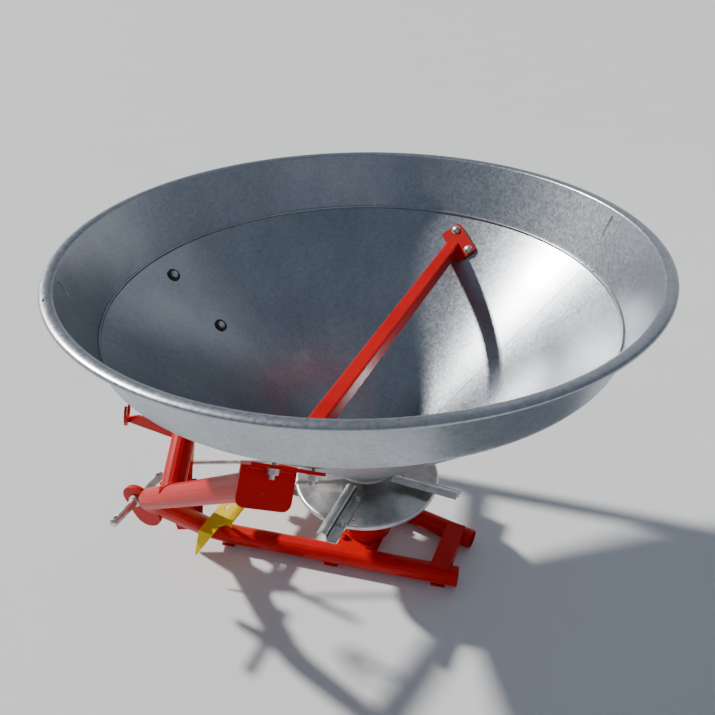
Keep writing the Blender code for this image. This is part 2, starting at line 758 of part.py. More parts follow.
def make_gearbox_housing():
    """Round case, open at the top, with a snout for the input shaft's bearings."""
    edge = 0.003
    profile = [(0.0, BOX_TOP), (BOX_R, BOX_TOP), (BOX_R, BOX_BOTTOM + edge),
               (BOX_R - edge, BOX_BOTTOM), (0.0, BOX_BOTTOM)]
    obj = lathe("gearbox_housing", profile, RED, 40, closed=False)
    inner = BOX_R - BOX_WALL
    join(obj, rod_mesh("snout", SNOUT_R, SNOUT_END, -inner, 32), TO_X)
    cut(obj, rod_mesh("inside", inner, BOX_BOTTOM + BOX_WALL, 1, 40))
    return cut(obj, rod_mesh("bore", BEARING_R, -1, -0.03, 32), TO_X)


def make_gearbox_cover():
    low = BOX_TOP + GAP
    obj = rod("gearbox_cover", BOX_R, low, low + COVER_T, RED, sides=40)
    join(obj, rod_mesh("neck", NECK_R, low + COVER_T / 2, NECK_TOP, 32))
    return cut(obj, rod_mesh("bore", BEARING_R, 0, 1, 32))


def bearing(name, inner, low, frame):
    return lathe(name, [(inner, low + BEARING_W), (BEARING_R - GAP, low + BEARING_W),
                        (BEARING_R - GAP, low), (inner, low)], STEEL, 32, frame)


def make_bearings():
    bearing("input_bearing_front", INPUT_R + RUN, SNOUT_END + 0.004, TO_X)
    bearing("input_bearing_rear", INPUT_R + RUN, -BOX_R - 0.004, TO_X)
    up = Matrix.Identity(4)
    bearing("upright_bearing_lower", SHAFT_R + RUN, BOX_BOTTOM + BOX_WALL + GAP, up)
    bearing("upright_bearing_upper", SHAFT_R + RUN, NECK_TOP - BEARING_W - 0.004, up)


def bevel_gear(name, bore, frame):
    """Gear blank on its pitch cone: the apex is where the two shaft axes cross."""
    return lathe(name, [(bore + GAP, GEAR_OUT), (GEAR_OUT - RUN, GEAR_OUT),
                        (GEAR_IN - RUN, GEAR_IN), (bore + GAP, GEAR_IN)], STEEL, 36, frame)


def make_drive_shaft():
    """Input shaft with a six-spline stub at its front end."""
    obj = rod("drive_shaft", INPUT_R, INPUT_END + SPLINE_LEN - 0.004, -GEAR_IN + RUN, STEEL,
              TO_X, 32)
    root = INPUT_R - 0.0012
    steps = 4
    outline = []
    for tooth in range(6):
        for i in range(steps):
            a = math.radians(60 * tooth + 7.5 + i * 30 / steps)
            outline.append((SPLINE_R * math.cos(a), SPLINE_R * math.sin(a)))
        for a in (60 * tooth + 37, 60 * tooth + 60):
            outline.append((root * math.cos(math.radians(a)), root * math.sin(math.radians(a))))
    stub = flat_outline("stub", outline, SPLINE_LEN, STEEL,
                        TO_X @ Matrix.Translation((0, 0, INPUT_END + SPLINE_LEN / 2)))
    join(obj, stub.data, stub.matrix_world)
    bpy.data.objects.remove(stub, do_unlink=True)
    return obj


# ---- spinner ---------------------------------------------------------------
def make_upright_shaft():
    return rod("upright_shaft", SHAFT_R, BOX_BOTTOM + BOX_WALL + 0.002, SHAFT_TOP, STEEL,
               sides=32)


def make_spinner_disc():
    bore = SHAFT_R + GAP
    low = DISC_Z - DISC_T
    profile = [(bore, DISC_Z), (DISC_R - 0.003, DISC_Z), (DISC_R, DISC_Z - 0.003),
               (DISC_R, DISC_Z - DISC_RIM), (DISC_R - DISC_T, DISC_Z - DISC_RIM),
               (DISC_R - DISC_T, low), (0.030, low), (0.028, NECK_TOP + 0.004),
               (bore, NECK_TOP + 0.004)]
    return lathe("spinner_disc", profile, STAINLESS, 56)


def make_vanes():
    """Z-section vanes: foot on the disc, upright web, lip over the other way."""
    t, h = VANE_T, VANE_H
    outline = [(0, 0), (VANE_FOOT, 0), (VANE_FOOT, t), (t, t), (t, h), (-VANE_LIP, h - 0.003),
               (-VANE_LIP, h - 0.003 - t), (0, h - t)]
    middle = (VANE_IN + VANE_OUT) / 2
    place = axes_at((0, -middle, DISC_Z + GAP), (1, 0, 0), (0, -1, 0))
    first = flat_outline("vane_1", outline, VANE_OUT - VANE_IN, STAINLESS, place)
    hub = Matrix.Translation((0, 0, DISC_Z))
    set_origin(first, hub)
    for i in range(1, VANES):
        copy = first.copy()
        copy.name = "vane_%d" % (i + 1)
        PARTS.objects.link(copy)
        copy.matrix_world = hub @ Matrix.Rotation(2 * math.pi * i / VANES, 4, "Z")


def make_agitator():
    """Finger hub on the top of the upright shaft, inside the hopper."""
    low = FLOOR_TOP + 0.002
    bore = SHAFT_R + GAP
    top = SHAFT_TOP + 0.008
    hub = SHAFT_R + 0.0065
    profile = [(0.0, top), (hub - 0.007, top), (hub, top - 0.008), (hub, low), (bore, low),
               (bore, SHAFT_TOP + GAP), (0.0, SHAFT_TOP + GAP)]
    obj = lathe("agitator", profile, STEEL, 32, closed=False)
    for turn in (0, 180):
        lean = Matrix.Rotation(math.radians(turn), 4, "Z") \
            @ Matrix.Translation((SHAFT_R + 0.004, 0, SHAFT_TOP - 0.012)) \
            @ Matrix.Rotation(math.radians(62), 4, "Y")
        join(obj, rod_mesh("finger", 0.005, 0.0, 0.055, 12), lean)
    return obj


# ---- metering gate and its lever ----------------------------------------
GUIDE_T = 0.002
GUIDE_HALF = GATE_HALF + 0.008
LEVER_ARM = ROD_Z - LEVER_PIVOT_Z
LEVER_X = LEVER_AT + GATE_TRAVEL / 2
LEVER_LEAN = math.atan(GATE_TRAVEL / 2 / LEVER_ARM)
LEVER_SIDE = ROD_R + 0.001
LEVER_TAIL = 0.016          # lever below its pivot
SLOT_END = 0.009            # slot past the pin at each end of the swing
QUADRANT_T = 0.005
QUADRANT_SIDE = LEVER_SIDE + LEVER_T + 2 * GAP
PIVOT_R = 0.005
END_PIN_R = 0.0035


def make_gate():
    obj = box("metering_gate", (GATE_IN, -GATE_HALF, GATE_LOW), (GATE_OUT, GATE_HALF, GATE_TOP),
              STAINLESS, ROD_FRAME)
    ear = box_mesh("ear", (GATE_OUT - 0.006, -0.012, GATE_LOW), (GATE_OUT, 0.012, ROD_Z + 0.008))
    return join(obj, ear, ROD_FRAME)


def make_gate_guide():
    low = GATE_LOW - GAP - GUIDE_T
    start = SHAFT_R + 0.002
    obj = box("gate_guide", (start, -GUIDE_HALF, low), (OUTLET_R - 0.004, GUIDE_HALF, GATE_TOP),
              STAINLESS, ROD_FRAME)
    cut(obj, box_mesh("channel", (start + 0.004, -GATE_HALF - GAP, GATE_LOW - GAP),
                      (1, GATE_HALF + GAP, 1)), ROD_FRAME)
    return cut(obj, box_mesh("port", (GATE_IN + 0.006, -GATE_HALF + 0.010, 0),
                             (1, GATE_HALF - 0.010, 1)), ROD_FRAME)


def make_control_rod():
    """Rod from the gate's ear to the lever, with a cross pin at its front end."""
    along = ROD_FRAME @ Matrix.Translation((0, 0, ROD_Z)) \
        @ Matrix.Rotation(math.radians(90), 4, "Y")
    obj = rod("control_rod", ROD_R, GATE_OUT + GAP, LEVER_AT + 0.008, ZINC, along, 16)
    across = ROD_FRAME @ Matrix.Translation((LEVER_AT, 0, ROD_Z)) \
        @ Matrix.Rotation(math.radians(-90), 4, "X")
    return join(obj, rod_mesh("pin", END_PIN_R, 0.0, LEVER_SIDE + LEVER_T + 0.004, 16), across)


def upright_plane(x, y, z, turn=0.0):
    """Frame in the rod's upright plane: local X outwards, local Y up."""
    return ROD_FRAME @ Matrix.Translation((x, y, z)) @ Matrix.Rotation(math.radians(90), 4, "X") \
        @ Matrix.Rotation(turn, 4, "Z")


def make_control_lever():
    frame = upright_plane(LEVER_X, LEVER_SIDE + LEVER_T / 2, LEVER_PIVOT_Z, LEVER_LEAN)
    length = LEVER_TOP_Z - LEVER_PIVOT_Z + LEVER_TAIL
    obj = flat_outline("control_lever", rounded(LEVER_W, length, 0.010), LEVER_T, RED,
                       frame @ Matrix.Translation((0, length / 2 - LEVER_TAIL, 0)))
    set_origin(obj, frame)
    cut(obj, rod_mesh("hole", PIVOT_R + RUN, -0.02, 0.02, 16), frame)
    reach = LEVER_ARM / math.cos(LEVER_LEAN)
    slot = box_mesh("slot", (-END_PIN_R - RUN, LEVER_ARM - SLOT_END, -0.02),
                    (END_PIN_R + RUN, reach + SLOT_END, 0.02))
    return cut(obj, slot, frame)


def make_quadrant():
    """Plate on the left rail that carries the lever's pivot, with stop notches."""
    frame = upright_plane(LEVER_X, QUADRANT_SIDE + QUADRANT_T / 2, LEVER_PIVOT_Z)
    outline = [(-0.030, -0.110), (0.040, -0.110)]
    for i in range(13):
        a = math.radians(50 + 80 * i / 12)
        radius = 0.086 if i % 2 else 0.092
        outline.append((radius * math.cos(a), radius * math.sin(a)))
    obj = flat_outline("quadrant", outline, QUADRANT_T, RED, frame)
    cut(obj, rail_cutter())
    return cut(obj, rod_mesh("hole", PIVOT_R + GAP, -0.02, 0.02, 16), frame)


def make_lever_pivot():
    start = LEVER_SIDE - 0.001
    frame = upright_plane(LEVER_X, 0, LEVER_PIVOT_Z)
    end = QUADRANT_SIDE + QUADRANT_T + 0.008
    under = start + 0.0005
    profile = [(0.0, -start), (PIVOT_R + 0.004, -start), (PIVOT_R + 0.004, -under),
               (PIVOT_R, -under), (PIVOT_R, -end), (0.0, -end)]
    return lathe("lever_pivot", profile, ZINC, 16, frame, closed=False)


# ---- drive guard -----------------------------------------------------------
def make_drive_guard():
    """Bent sheet over the drive shaft; each end narrows and hangs down to a point."""
    t = GUARD_T
    tip_y = GUARD_Y + GUARD_FLARE
    tip_z = GUARD_Z - GUARD_DROP
    front, back = GUARD_X
    outline = [(-tip_y, tip_z), (-GUARD_Y, GUARD_Z), (GUARD_Y, GUARD_Z), (tip_y, tip_z),
               (tip_y - t, tip_z), (GUARD_Y - t, GUARD_Z - t), (-GUARD_Y + t, GUARD_Z - t),
               (-tip_y + t, tip_z)]
    across = axes_at(((front + back) / 2, 0, 0), (0, 1, 0), (1, 0, 0))
    obj = flat_outline("drive_guard", outline, back - front, YELLOW, across)
    neck = front + GUARD_NECK
    wedge = [(neck, GUARD_Z - t), (front + 0.004, tip_z - 0.002), (neck, tip_z - 0.002)]
    cut_outline(obj, wedge, 1.0, axes_at((0, 0, 0), (1, 0, 0), (0, -1, 0)))
    shoulder = [(neck, GUARD_Y + 0.1), (neck, GUARD_Y - 0.033), (back + 0.001, GUARD_Y - 0.061),
                (back + 0.01, GUARD_Y + 0.1)]
    for side in (-1, 1):
        notch = [(x, side * y) for x, y in shoulder]
        cut_outline(obj, notch, 0.2, axes_at((0, 0, GUARD_Z), (1, 0, 0), (0, 0, 1)))
    run = TAIL - KNEE
    middle = front + 0.020
    post_y = KNEE.y + run.y * (middle - KNEE.x) / run.x
    post = box_mesh("post", (middle - 0.013, post_y - 0.003, BASE_Z),
                    (middle + 0.013, post_y + 0.003, GUARD_Z - t / 2))
    join(obj, post)
    join(obj, mirrored_mesh(post))
    rails = rail_cutter()
    cut(obj, rails.copy())
    return cut(obj, mirrored_mesh(rails))


def cut_outline(obj, points, thickness, matrix):
    """Cut a flat outline, made solid, out of a piece."""
    tool = flat_outline("outline", points, thickness, YELLOW, matrix)
    cut(obj, tool.data, matrix)
    bpy.data.objects.remove(tool, do_unlink=True)


# ---- build ---------------------------------------------------------------
def build():
    cone = make_hopper_cone()
    make_hopper_band()
    make_outlet_ring()
    make_hopper_floor()
    for place in wall_bores():
        cut(cone, rod_mesh("hole", BOLT_R + GAP, -0.02, 0.02, 12), place)
    pair(make_brace_flange, "brace_flange")
    make_brace_bar()
    pair(make_side_bracket, "side_bracket")
    make_side_bolts()
    for label, z in zip(("upper", "lower"), FRONT_BOLT_Z):
        make_bolt("front_bolt_" + label, front_frame(z, INSIDE_OFF),
                  PLATE_OFF + PLATE_T - INSIDE_OFF + GAP)
    make_front_strap()
    pair(make_top_link_plate, "top_link_plate")
    make_top_link_pin()
    pair(make_frame_rail, "frame_rail")
    pair(make_mast_leg, "mast_leg")
    make_rear_cross_bar()
    make_feet()
    pair(make_hitch_lug, "hitch_lug")
    pair(make_hitch_pin, "hitch_pin")
    make_shaft_rest()
    make_gearbox_plate()
    make_gearbox_housing()
    make_gearbox_cover()
    make_bearings()
    bevel_gear("pinion", INPUT_R, TO_X @ Matrix.Rotation(math.pi, 4, "X"))
    bevel_gear("crown_gear", SHAFT_R, Matrix.Translation((0, 0, SHAFT_Z)))
    make_drive_shaft()
    make_upright_shaft()
    make_spinner_disc()
    make_vanes()
    make_agitator()
    make_gate()
    make_gate_guide()
    make_control_rod()
    make_control_lever()
    make_quadrant()
    make_lever_pivot()
    make_drive_guard()


build()
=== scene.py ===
import json
import math

import bmesh
import bpy
from bpy.props import FloatProperty, FloatVectorProperty, IntProperty, PointerProperty
from mathutils import Matrix, Vector, noise


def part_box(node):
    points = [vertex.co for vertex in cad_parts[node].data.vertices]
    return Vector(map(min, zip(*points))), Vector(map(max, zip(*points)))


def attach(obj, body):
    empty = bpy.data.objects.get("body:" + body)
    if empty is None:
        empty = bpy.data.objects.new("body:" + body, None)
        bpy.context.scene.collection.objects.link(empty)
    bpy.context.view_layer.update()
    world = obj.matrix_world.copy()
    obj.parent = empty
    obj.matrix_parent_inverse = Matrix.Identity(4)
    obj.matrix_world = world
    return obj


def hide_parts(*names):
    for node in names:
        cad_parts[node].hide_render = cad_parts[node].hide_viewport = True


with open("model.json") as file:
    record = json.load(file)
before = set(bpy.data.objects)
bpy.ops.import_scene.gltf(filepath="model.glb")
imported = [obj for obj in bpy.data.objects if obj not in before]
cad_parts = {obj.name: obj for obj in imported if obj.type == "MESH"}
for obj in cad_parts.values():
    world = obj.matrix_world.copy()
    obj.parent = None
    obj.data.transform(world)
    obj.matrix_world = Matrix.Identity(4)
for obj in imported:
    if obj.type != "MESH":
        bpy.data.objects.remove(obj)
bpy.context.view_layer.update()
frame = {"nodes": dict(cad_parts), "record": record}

bl_info = {
    "name": "Fertiliser spreader looks",
    "version": (1, 0, 0),
    "blender": (4, 5, 0),
    "location": "View3D > Sidebar > Spreader",
    "description": "Finishes and fine pieces of a tractor-mounted fertiliser spreader",
    "category": "Object",
}

NODES = frame["nodes"]

# ---- sizes read from the frame, in metres ---------------------------------
BAND_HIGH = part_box("hopper_band")[1]
CONE_LOW, CONE_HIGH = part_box("hopper_cone")
RIM_R = BAND_HIGH.x
RIM_Z = BAND_HIGH.z
CREASE_R = CONE_HIGH.x
CREASE_Z = CONE_HIGH.z
OUTLET_Z = CONE_LOW.z
OUTLET_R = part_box("outlet_ring")[1].x
DISC_LOW, DISC_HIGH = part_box("spinner_disc")
DISC_R = DISC_HIGH.x
DISC_Z = DISC_HIGH.z
HITCH_PIN_MIDDLE = (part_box("hitch_pin_left")[0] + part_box("hitch_pin_left")[1]) / 2
HITCH_X = HITCH_PIN_MIDDLE.x
HITCH_Z = HITCH_PIN_MIDDLE.z
HITCH_Y = (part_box("hitch_lug_right")[0].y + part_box("hitch_lug_right")[1].y) / 2

# ---- sizes that the pieces share, in metres --------------------------------
SHEET = 0.002
TUBE_R = 0.027
BASE_Z = 0.0333
CONE_SLOPE = (CREASE_R - OUTLET_R) / (CREASE_Z - OUTLET_Z)
CONE_ANGLE = math.atan(CONE_SLOPE)
BRACKET_AZ = 80.0
BRACKET_Z = 0.736
BRACKET_TILT = 40.4
BOLT_PITCH = 0.075
FRONT_BOLT_Z = (0.748, 0.625)
PLATE_OFF = 0.0045
PLATE_T = 0.006
INSIDE_OFF = -0.0054
FLANGE_T = 0.005
BOLT_HOLE_R = 0.0053        # through the hopper's wall
WASHER_HOLE_R = 0.0052      # in what fits on the hopper bolts
RAIL_END = Vector((-0.037, -0.022, 0.033))      # rail's axis on the left bracket
MAST_FOOT_AT = 0.27         # share of the upper rail where the mast leg stands
MAST_TOP = Vector((-0.034, -0.0323, -0.035))    # mast leg's end from the lower front bolt
SHAFT_Z = 0.101             # drive shaft axis height
ROD_ANGLE = 22.3            # control rod, degrees from -X towards -Y
ROD_Z = OUTLET_Z - 0.002
LEVER_PIVOT = Vector((0.503, 0.0130, 0.165))    # along the rod, across it, and up
HALF_TRAVEL = 0.025         # of the metering gate
MIRROR_Y = Matrix.Diagonal((1.0, -1.0, 1.0, 1.0))
CORNER = Vector((HITCH_X + 0.043, -HITCH_Y - 0.012, HITCH_Z + 0.024))
KNEE = Vector((HITCH_X + 0.078, -HITCH_Y / 2, BASE_Z))
TAIL = Vector((0.290, -0.070, BASE_Z))


# ---- settings ---------------------------------------------------------------
class SpreaderColours(bpy.types.PropertyGroup):
    zinc: FloatVectorProperty(
        name="Galvanised sheet", description="Base colour of the hopper", subtype="COLOR",
        size=3, default=(0.44, 0.465, 0.50), min=0.0, max=1.0)
    red: FloatVectorProperty(
        name="Frame paint", description="Base colour of the frame", subtype="COLOR",
        size=3, default=(0.52, 0.0008, 0.0016), min=0.0, max=1.0)
    yellow: FloatVectorProperty(
        name="Guard paint", description="Base colour of the drive guard", subtype="COLOR",
        size=3, default=(0.92, 0.66, 0.003), min=0.0, max=1.0)
    floor: FloatVectorProperty(
        name="Floor", description="Colour of the studio floor", subtype="COLOR",
        size=3, default=(0.76, 0.77, 0.78), min=0.0, max=1.0)


class SpreaderSizes(bpy.types.PropertyGroup):
    rim_roll: FloatProperty(
        name="Rim roll", description="Height of the rolled edge", unit="LENGTH",
        default=0.010, min=0.004, max=0.012)
    crease_bead: FloatProperty(
        name="Crease bead", description="Radius of the swage at the foot of the band",
        unit="LENGTH", default=0.0034, min=0.001, max=0.006)
    washer_radius: FloatProperty(
        name="Washer", description="Outer radius of the sealing washers in the hopper",
        unit="LENGTH", default=0.0165, min=0.010, max=0.022)
    weld_radius: FloatProperty(
        name="Weld", description="Half width of a weld bead", unit="LENGTH",
        default=0.0034, min=0.001, max=0.006)
    edge_round: FloatProperty(
        name="Edge rounding", description="Rounding on sheared plate edges", unit="LENGTH",
        default=0.0009, min=0.0, max=0.003)
    hopper_sides: IntProperty(
        name="Hopper sides", description="Sections round the hopper's fine pieces",
        default=192, min=64, max=256)


class SpreaderStage(bpy.types.PropertyGroup):
    key_strength: FloatProperty(
        name="Key light", description="Strength of the distant light on the tractor side",
        default=5.4, min=0.0)
    key_softness: FloatProperty(
        name="Key softness", description="Apparent width of the key light", subtype="ANGLE",
        default=math.radians(3.5), min=0.0, max=math.radians(30.0))
    fill_power: FloatProperty(
        name="Fill light", description="Power of the light behind the camera",
        unit="POWER", default=5.0, min=0.0)
    world_level: FloatProperty(
        name="Surround", description="Strength of the even surround", subtype="FACTOR",
        default=1.0, min=0.0, max=2.0)


# ---- shape helpers ------------------------------------------------------------
def axes_at(origin, x_axis, z_axis):
    """Matrix of a frame at origin whose local Z is z_axis and X lies along x_axis."""
    z = Vector(z_axis).normalized()
    x = Vector(x_axis)
    x = (x - z * x.dot(z)).normalized()
    rot = Matrix((x, z.cross(x), z)).transposed().to_4x4()
    return Matrix.Translation(Vector(origin)) @ rot


def add_piece(name, mesh, material, body, matrix=None, smooth=35.0):
    """Link a mesh as a piece that rides on a body."""
    mesh.name = name
    if matrix is not None:
        mesh.transform(matrix)
        if matrix.determinant() < 0:
            mesh.flip_normals()
    mesh.materials.clear()
    mesh.materials.append(material)
    mesh.shade_smooth()
    mesh.set_sharp_from_angle(angle=math.radians(smooth))
    obj = bpy.data.objects.new(name, mesh)
    bpy.context.scene.collection.objects.link(obj)
    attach(obj, body)
    return obj


def to_mesh(bm, name):
    bmesh.ops.recalc_face_normals(bm, faces=bm.faces)
    mesh = bpy.data.meshes.new(name)
    bm.to_mesh(mesh)
    bm.free()
    return mesh


def turned(profile, sides, closed=True):
    """Mesh of a profile of (radius, height) points turned about Z."""
    bm = bmesh.new()
    verts = [bm.verts.new((r, 0.0, z)) for r, z in profile]
    edges = [bm.edges.new(ends) for ends in zip(verts, verts[1:])]
    if closed:
        edges.append(bm.edges.new((verts[-1], verts[0])))
    bmesh.ops.spin(bm, geom=verts + edges, cent=(0, 0, 0), axis=(0, 0, 1),
                   angle=2 * math.pi, steps=sides, use_merge=True)
    bmesh.ops.remove_doubles(bm, verts=bm.verts, dist=1e-6)
    return to_mesh(bm, "turned")


def cylinder(radius, low, high, sides=24):
    bm = bmesh.new()
    bmesh.ops.create_cone(bm, cap_ends=True, segments=sides, radius1=radius, radius2=radius,
                          depth=high - low)
    bmesh.ops.translate(bm, verts=bm.verts, vec=(0.0, 0.0, (low + high) / 2))
    return to_mesh(bm, "cylinder")


def block(low, high):
    bm = bmesh.new()
    bmesh.ops.create_cube(bm, size=1.0)
    low, high = Vector(low), Vector(high)
    for vert in bm.verts:
        vert.co = (low + high) / 2 + Vector([vert.co[i] * (high - low)[i] for i in range(3)])
    return to_mesh(bm, "block")


def washer(inner, outer, low, high, sides=28):
    edge = (high - low) * 0.25
    return turned([(inner, low), (inner, high), (outer - edge, high), (outer, high - edge),
                   (outer, low)], sides)


def domed(radius, height, sides=24):
    """Round head that rises from z=0."""
    steps = 6
    profile = [(0.0, 0.0), (radius, 0.0)]
    for i in range(steps + 1):
        a = math.radians(90 * i / steps)
        profile.append((radius * math.cos(a) if i < steps else 0.0,
                        height * 0.2 + height * 0.8 * math.sin(a)))
    return turned(profile, sides, closed=False)


def nut(across, height, bore):
    """Six-sided nut with a bore and chamfered corners."""
    bm = bmesh.new()
    bmesh.ops.create_cone(bm, cap_ends=True, segments=6, radius1=across / 2 / math.cos(math.pi / 6),
                          radius2=across / 2 / math.cos(math.pi / 6), depth=height)
    bmesh.ops.translate(bm, verts=bm.verts, vec=(0, 0, height / 2))
    tops = [f for f in bm.faces if abs(f.normal.z) > 0.9]
    bmesh.ops.inset_individual(bm, faces=tops, thickness=(across / 2 - bore) * 0.35, depth=0.0004)
    return to_mesh(bm, "nut")


def curve_mesh(curve):
    """Mesh of a curve, with doubled points at its caps merged."""
    holder = bpy.data.objects.new("holder", curve)
    bpy.context.scene.collection.objects.link(holder)
    bpy.context.view_layer.update()
    graph = bpy.context.evaluated_depsgraph_get()
    mesh = bpy.data.meshes.new_from_object(holder.evaluated_get(graph))
    bpy.data.objects.remove(holder, do_unlink=True)
    bpy.data.curves.remove(curve)
    bm = bmesh.new()
    bm.from_mesh(mesh)
    bmesh.ops.remove_doubles(bm, verts=bm.verts, dist=1e-6)
    bpy.data.meshes.remove(mesh)
    return to_mesh(bm, "curve")


def tube(points, radius, resolution=4, radii=None, cyclic=False):
    """Round tube along points; radii scale it from point to point."""
    curve = bpy.data.curves.new("tube", "CURVE")
    curve.dimensions = "3D"
    curve.bevel_depth = radius
    curve.bevel_resolution = resolution
    curve.use_fill_caps = not cyclic
    spline = curve.splines.new("POLY")
    spline.points.add(len(points) - 1)
    for i, place in enumerate(points):
        spline.points[i].co = (*place, 1.0)
        if radii:
            spline.points[i].radius = radii[i]
    spline.use_cyclic_u = cyclic
    return curve_mesh(curve)


def plate(outline, thickness):
    """Flat outline made solid to both sides of its plane."""
    curve = bpy.data.curves.new("plate", "CURVE")
    curve.dimensions = "2D"
    curve.fill_mode = "BOTH"
    curve.extrude = thickness / 2
    spline = curve.splines.new("POLY")
    spline.points.add(len(outline) - 1)
    for point, (x, y) in zip(spline.points, outline):
        point.co = (x, y, 0.0, 1.0)
    spline.use_cyclic_u = True
    return curve_mesh(curve)


def cut(obj, mesh):
    """Cut a mesh out of a piece and keep the result as its mesh."""
    tool = bpy.data.objects.new("tool", mesh)
    bpy.context.scene.collection.objects.link(tool)
    boolean = obj.modifiers.new("cut", "BOOLEAN")
    boolean.operation = "DIFFERENCE"
    boolean.solver = "EXACT"
    boolean.object = tool
    bpy.context.view_layer.update()
    graph = bpy.context.evaluated_depsgraph_get()
    made = bpy.data.meshes.new_from_object(obj.evaluated_get(graph))
    obj.modifiers.clear()
    obj.data = made
    bpy.data.objects.remove(tool, do_unlink=True)
    made.shade_smooth()
    made.set_sharp_from_angle(angle=math.radians(35))
    return obj


def merged(meshes):
    """One mesh of several."""
    bm = bmesh.new()
    for mesh in meshes:
        bm.from_mesh(mesh)
        bpy.data.meshes.remove(mesh)
    made = bpy.data.meshes.new("merged")
    bm.to_mesh(made)
    bm.free()
    return made


def placed(mesh, matrix):
    mesh.transform(matrix)
    if matrix.determinant() < 0:
        mesh.flip_normals()
    return mesh


def weld_line(points, radius, seed):
    """Bead with the small ripples of a hand weld, along points."""
    path = []
    for start, end in zip(points, points[1:]):
        steps = max(2, int((end - start).length / 0.003))
        for i in range(steps):
            path.append(start.lerp(end, i / steps))
    path.append(points[-1])
    radii = []
    for i, place in enumerate(path):
        wobble = noise.noise(place * 90.0 + Vector((seed, 0, 0)))
        radii.append(0.86 + 0.16 * (i % 2) + 0.28 * wobble)
    return tube(path, radius, 3, radii)


# ---- places on the hopper and the frame -------------------------------------
def cone_radius(z):
    return OUTLET_R + (z - OUTLET_Z) * CONE_SLOPE


def cone_normal(azimuth):
    a = math.radians(azimuth)
    flat = math.cos(CONE_ANGLE)
    return Vector((flat * math.cos(a), flat * math.sin(a), -math.sin(CONE_ANGLE)))


def cone_place(azimuth, z, depth=0.0):
    a = math.radians(azimuth)
    r = cone_radius(z)
    return Vector((r * math.cos(a), r * math.sin(a), z)) + cone_normal(azimuth) * depth


def side_frame(depth):
    """Left bracket's frame: X along its bolts, Z out of the cone."""
    a = math.radians(-BRACKET_AZ)
    out = cone_normal(-BRACKET_AZ)
    level = Vector((-math.sin(a), math.cos(a), 0.0))
    down = level.cross(out)
    if down.z > 0:
        down = -down
    tilt = math.radians(BRACKET_TILT)
    return axes_at(cone_place(-BRACKET_AZ, BRACKET_Z, depth),
                   level * math.cos(tilt) + down * math.sin(tilt), out)


def front_frame(z, depth=0.0):
    out = cone_normal(180)
    return axes_at(cone_place(180, z, depth), (-1, 0, 1), out)


def both_sides(matrix):
    """The left-hand frame and its mirror image."""
    return (("left", matrix), ("right", MIRROR_Y @ matrix))


def rail_head():
    """Axis point where the rail ends on the left bracket."""
    return side_frame(PLATE_OFF) @ RAIL_END


def mast_top():
    """Axis point where the left mast leg ends on its cheek."""
    low = min(FRONT_BOLT_Z)
    return Vector((-cone_radius(low), 0.0, low)) + MAST_TOP


def rail_direction():
    return (TAIL - KNEE).normalized()


# ---- finishes ------------------------------------------------------------------
def new_finish(name):
    mat = bpy.data.materials.new(name)
    mat.use_nodes = True
    return mat, mat.node_tree.nodes, mat.node_tree.links


def add_node(nodes, kind, **settings):
    node = nodes.new(kind)
    for key, value in settings.items():
        setattr(node, key, value)
    return node


def coords(nodes, links, scale):
    """Object coordinates, scaled."""
    source = add_node(nodes, "ShaderNodeTexCoord")
    mapping = add_node(nodes, "ShaderNodeMapping")
    mapping.inputs["Scale"].default_value = scale
    links.new(source.outputs["Object"], mapping.inputs["Vector"])
    return mapping.outputs["Vector"]


def noise_of(nodes, links, scale, size, detail=4.0, rough=0.55):
    tex = add_node(nodes, "ShaderNodeTexNoise")
    tex.inputs["Scale"].default_value = size
    tex.inputs["Detail"].default_value = detail
    tex.inputs["Roughness"].default_value = rough
    links.new(coords(nodes, links, scale), tex.inputs["Vector"])
    return tex.outputs["Fac"]


def ramp_of(nodes, links, value, stops):
    ramp = add_node(nodes, "ShaderNodeValToRGB")
    while len(ramp.color_ramp.elements) < len(stops):
        ramp.color_ramp.elements.new(0.5)
    for element, (place, color) in zip(ramp.color_ramp.elements, stops):
        element.position = place
        element.color = (*color, 1.0) if isinstance(color, tuple) else (color, color, color, 1.0)
    links.new(value, ramp.inputs["Fac"])
    return ramp.outputs["Color"]


def blend_color(nodes, links, mode, factor, first, second):
    """Mix two colours; a tuple or a socket is given for each, and for the factor."""
    mix = add_node(nodes, "ShaderNodeMix", data_type="RGBA", blend_type=mode)
    for socket, value in ((mix.inputs[0], factor), (mix.inputs[6], first),
                          (mix.inputs[7], second)):
        if isinstance(value, bpy.types.NodeSocket):
            links.new(value, socket)
        elif isinstance(value, tuple):
            socket.default_value = (*value, 1.0)
        else:
            socket.default_value = value
    return mix.outputs[2]


def bump_of(nodes, links, height, strength, distance, before=None):
    bump = add_node(nodes, "ShaderNodeBump")
    bump.inputs["Strength"].default_value = strength
    bump.inputs["Distance"].default_value = distance
    links.new(height, bump.inputs["Height"])
    if before is not None:
        links.new(before, bump.inputs["Normal"])
    return bump.outputs["Normal"]


def shades(color, *factors):
    return [tuple(min(1.0, c * f) for c in color) for f in factors]


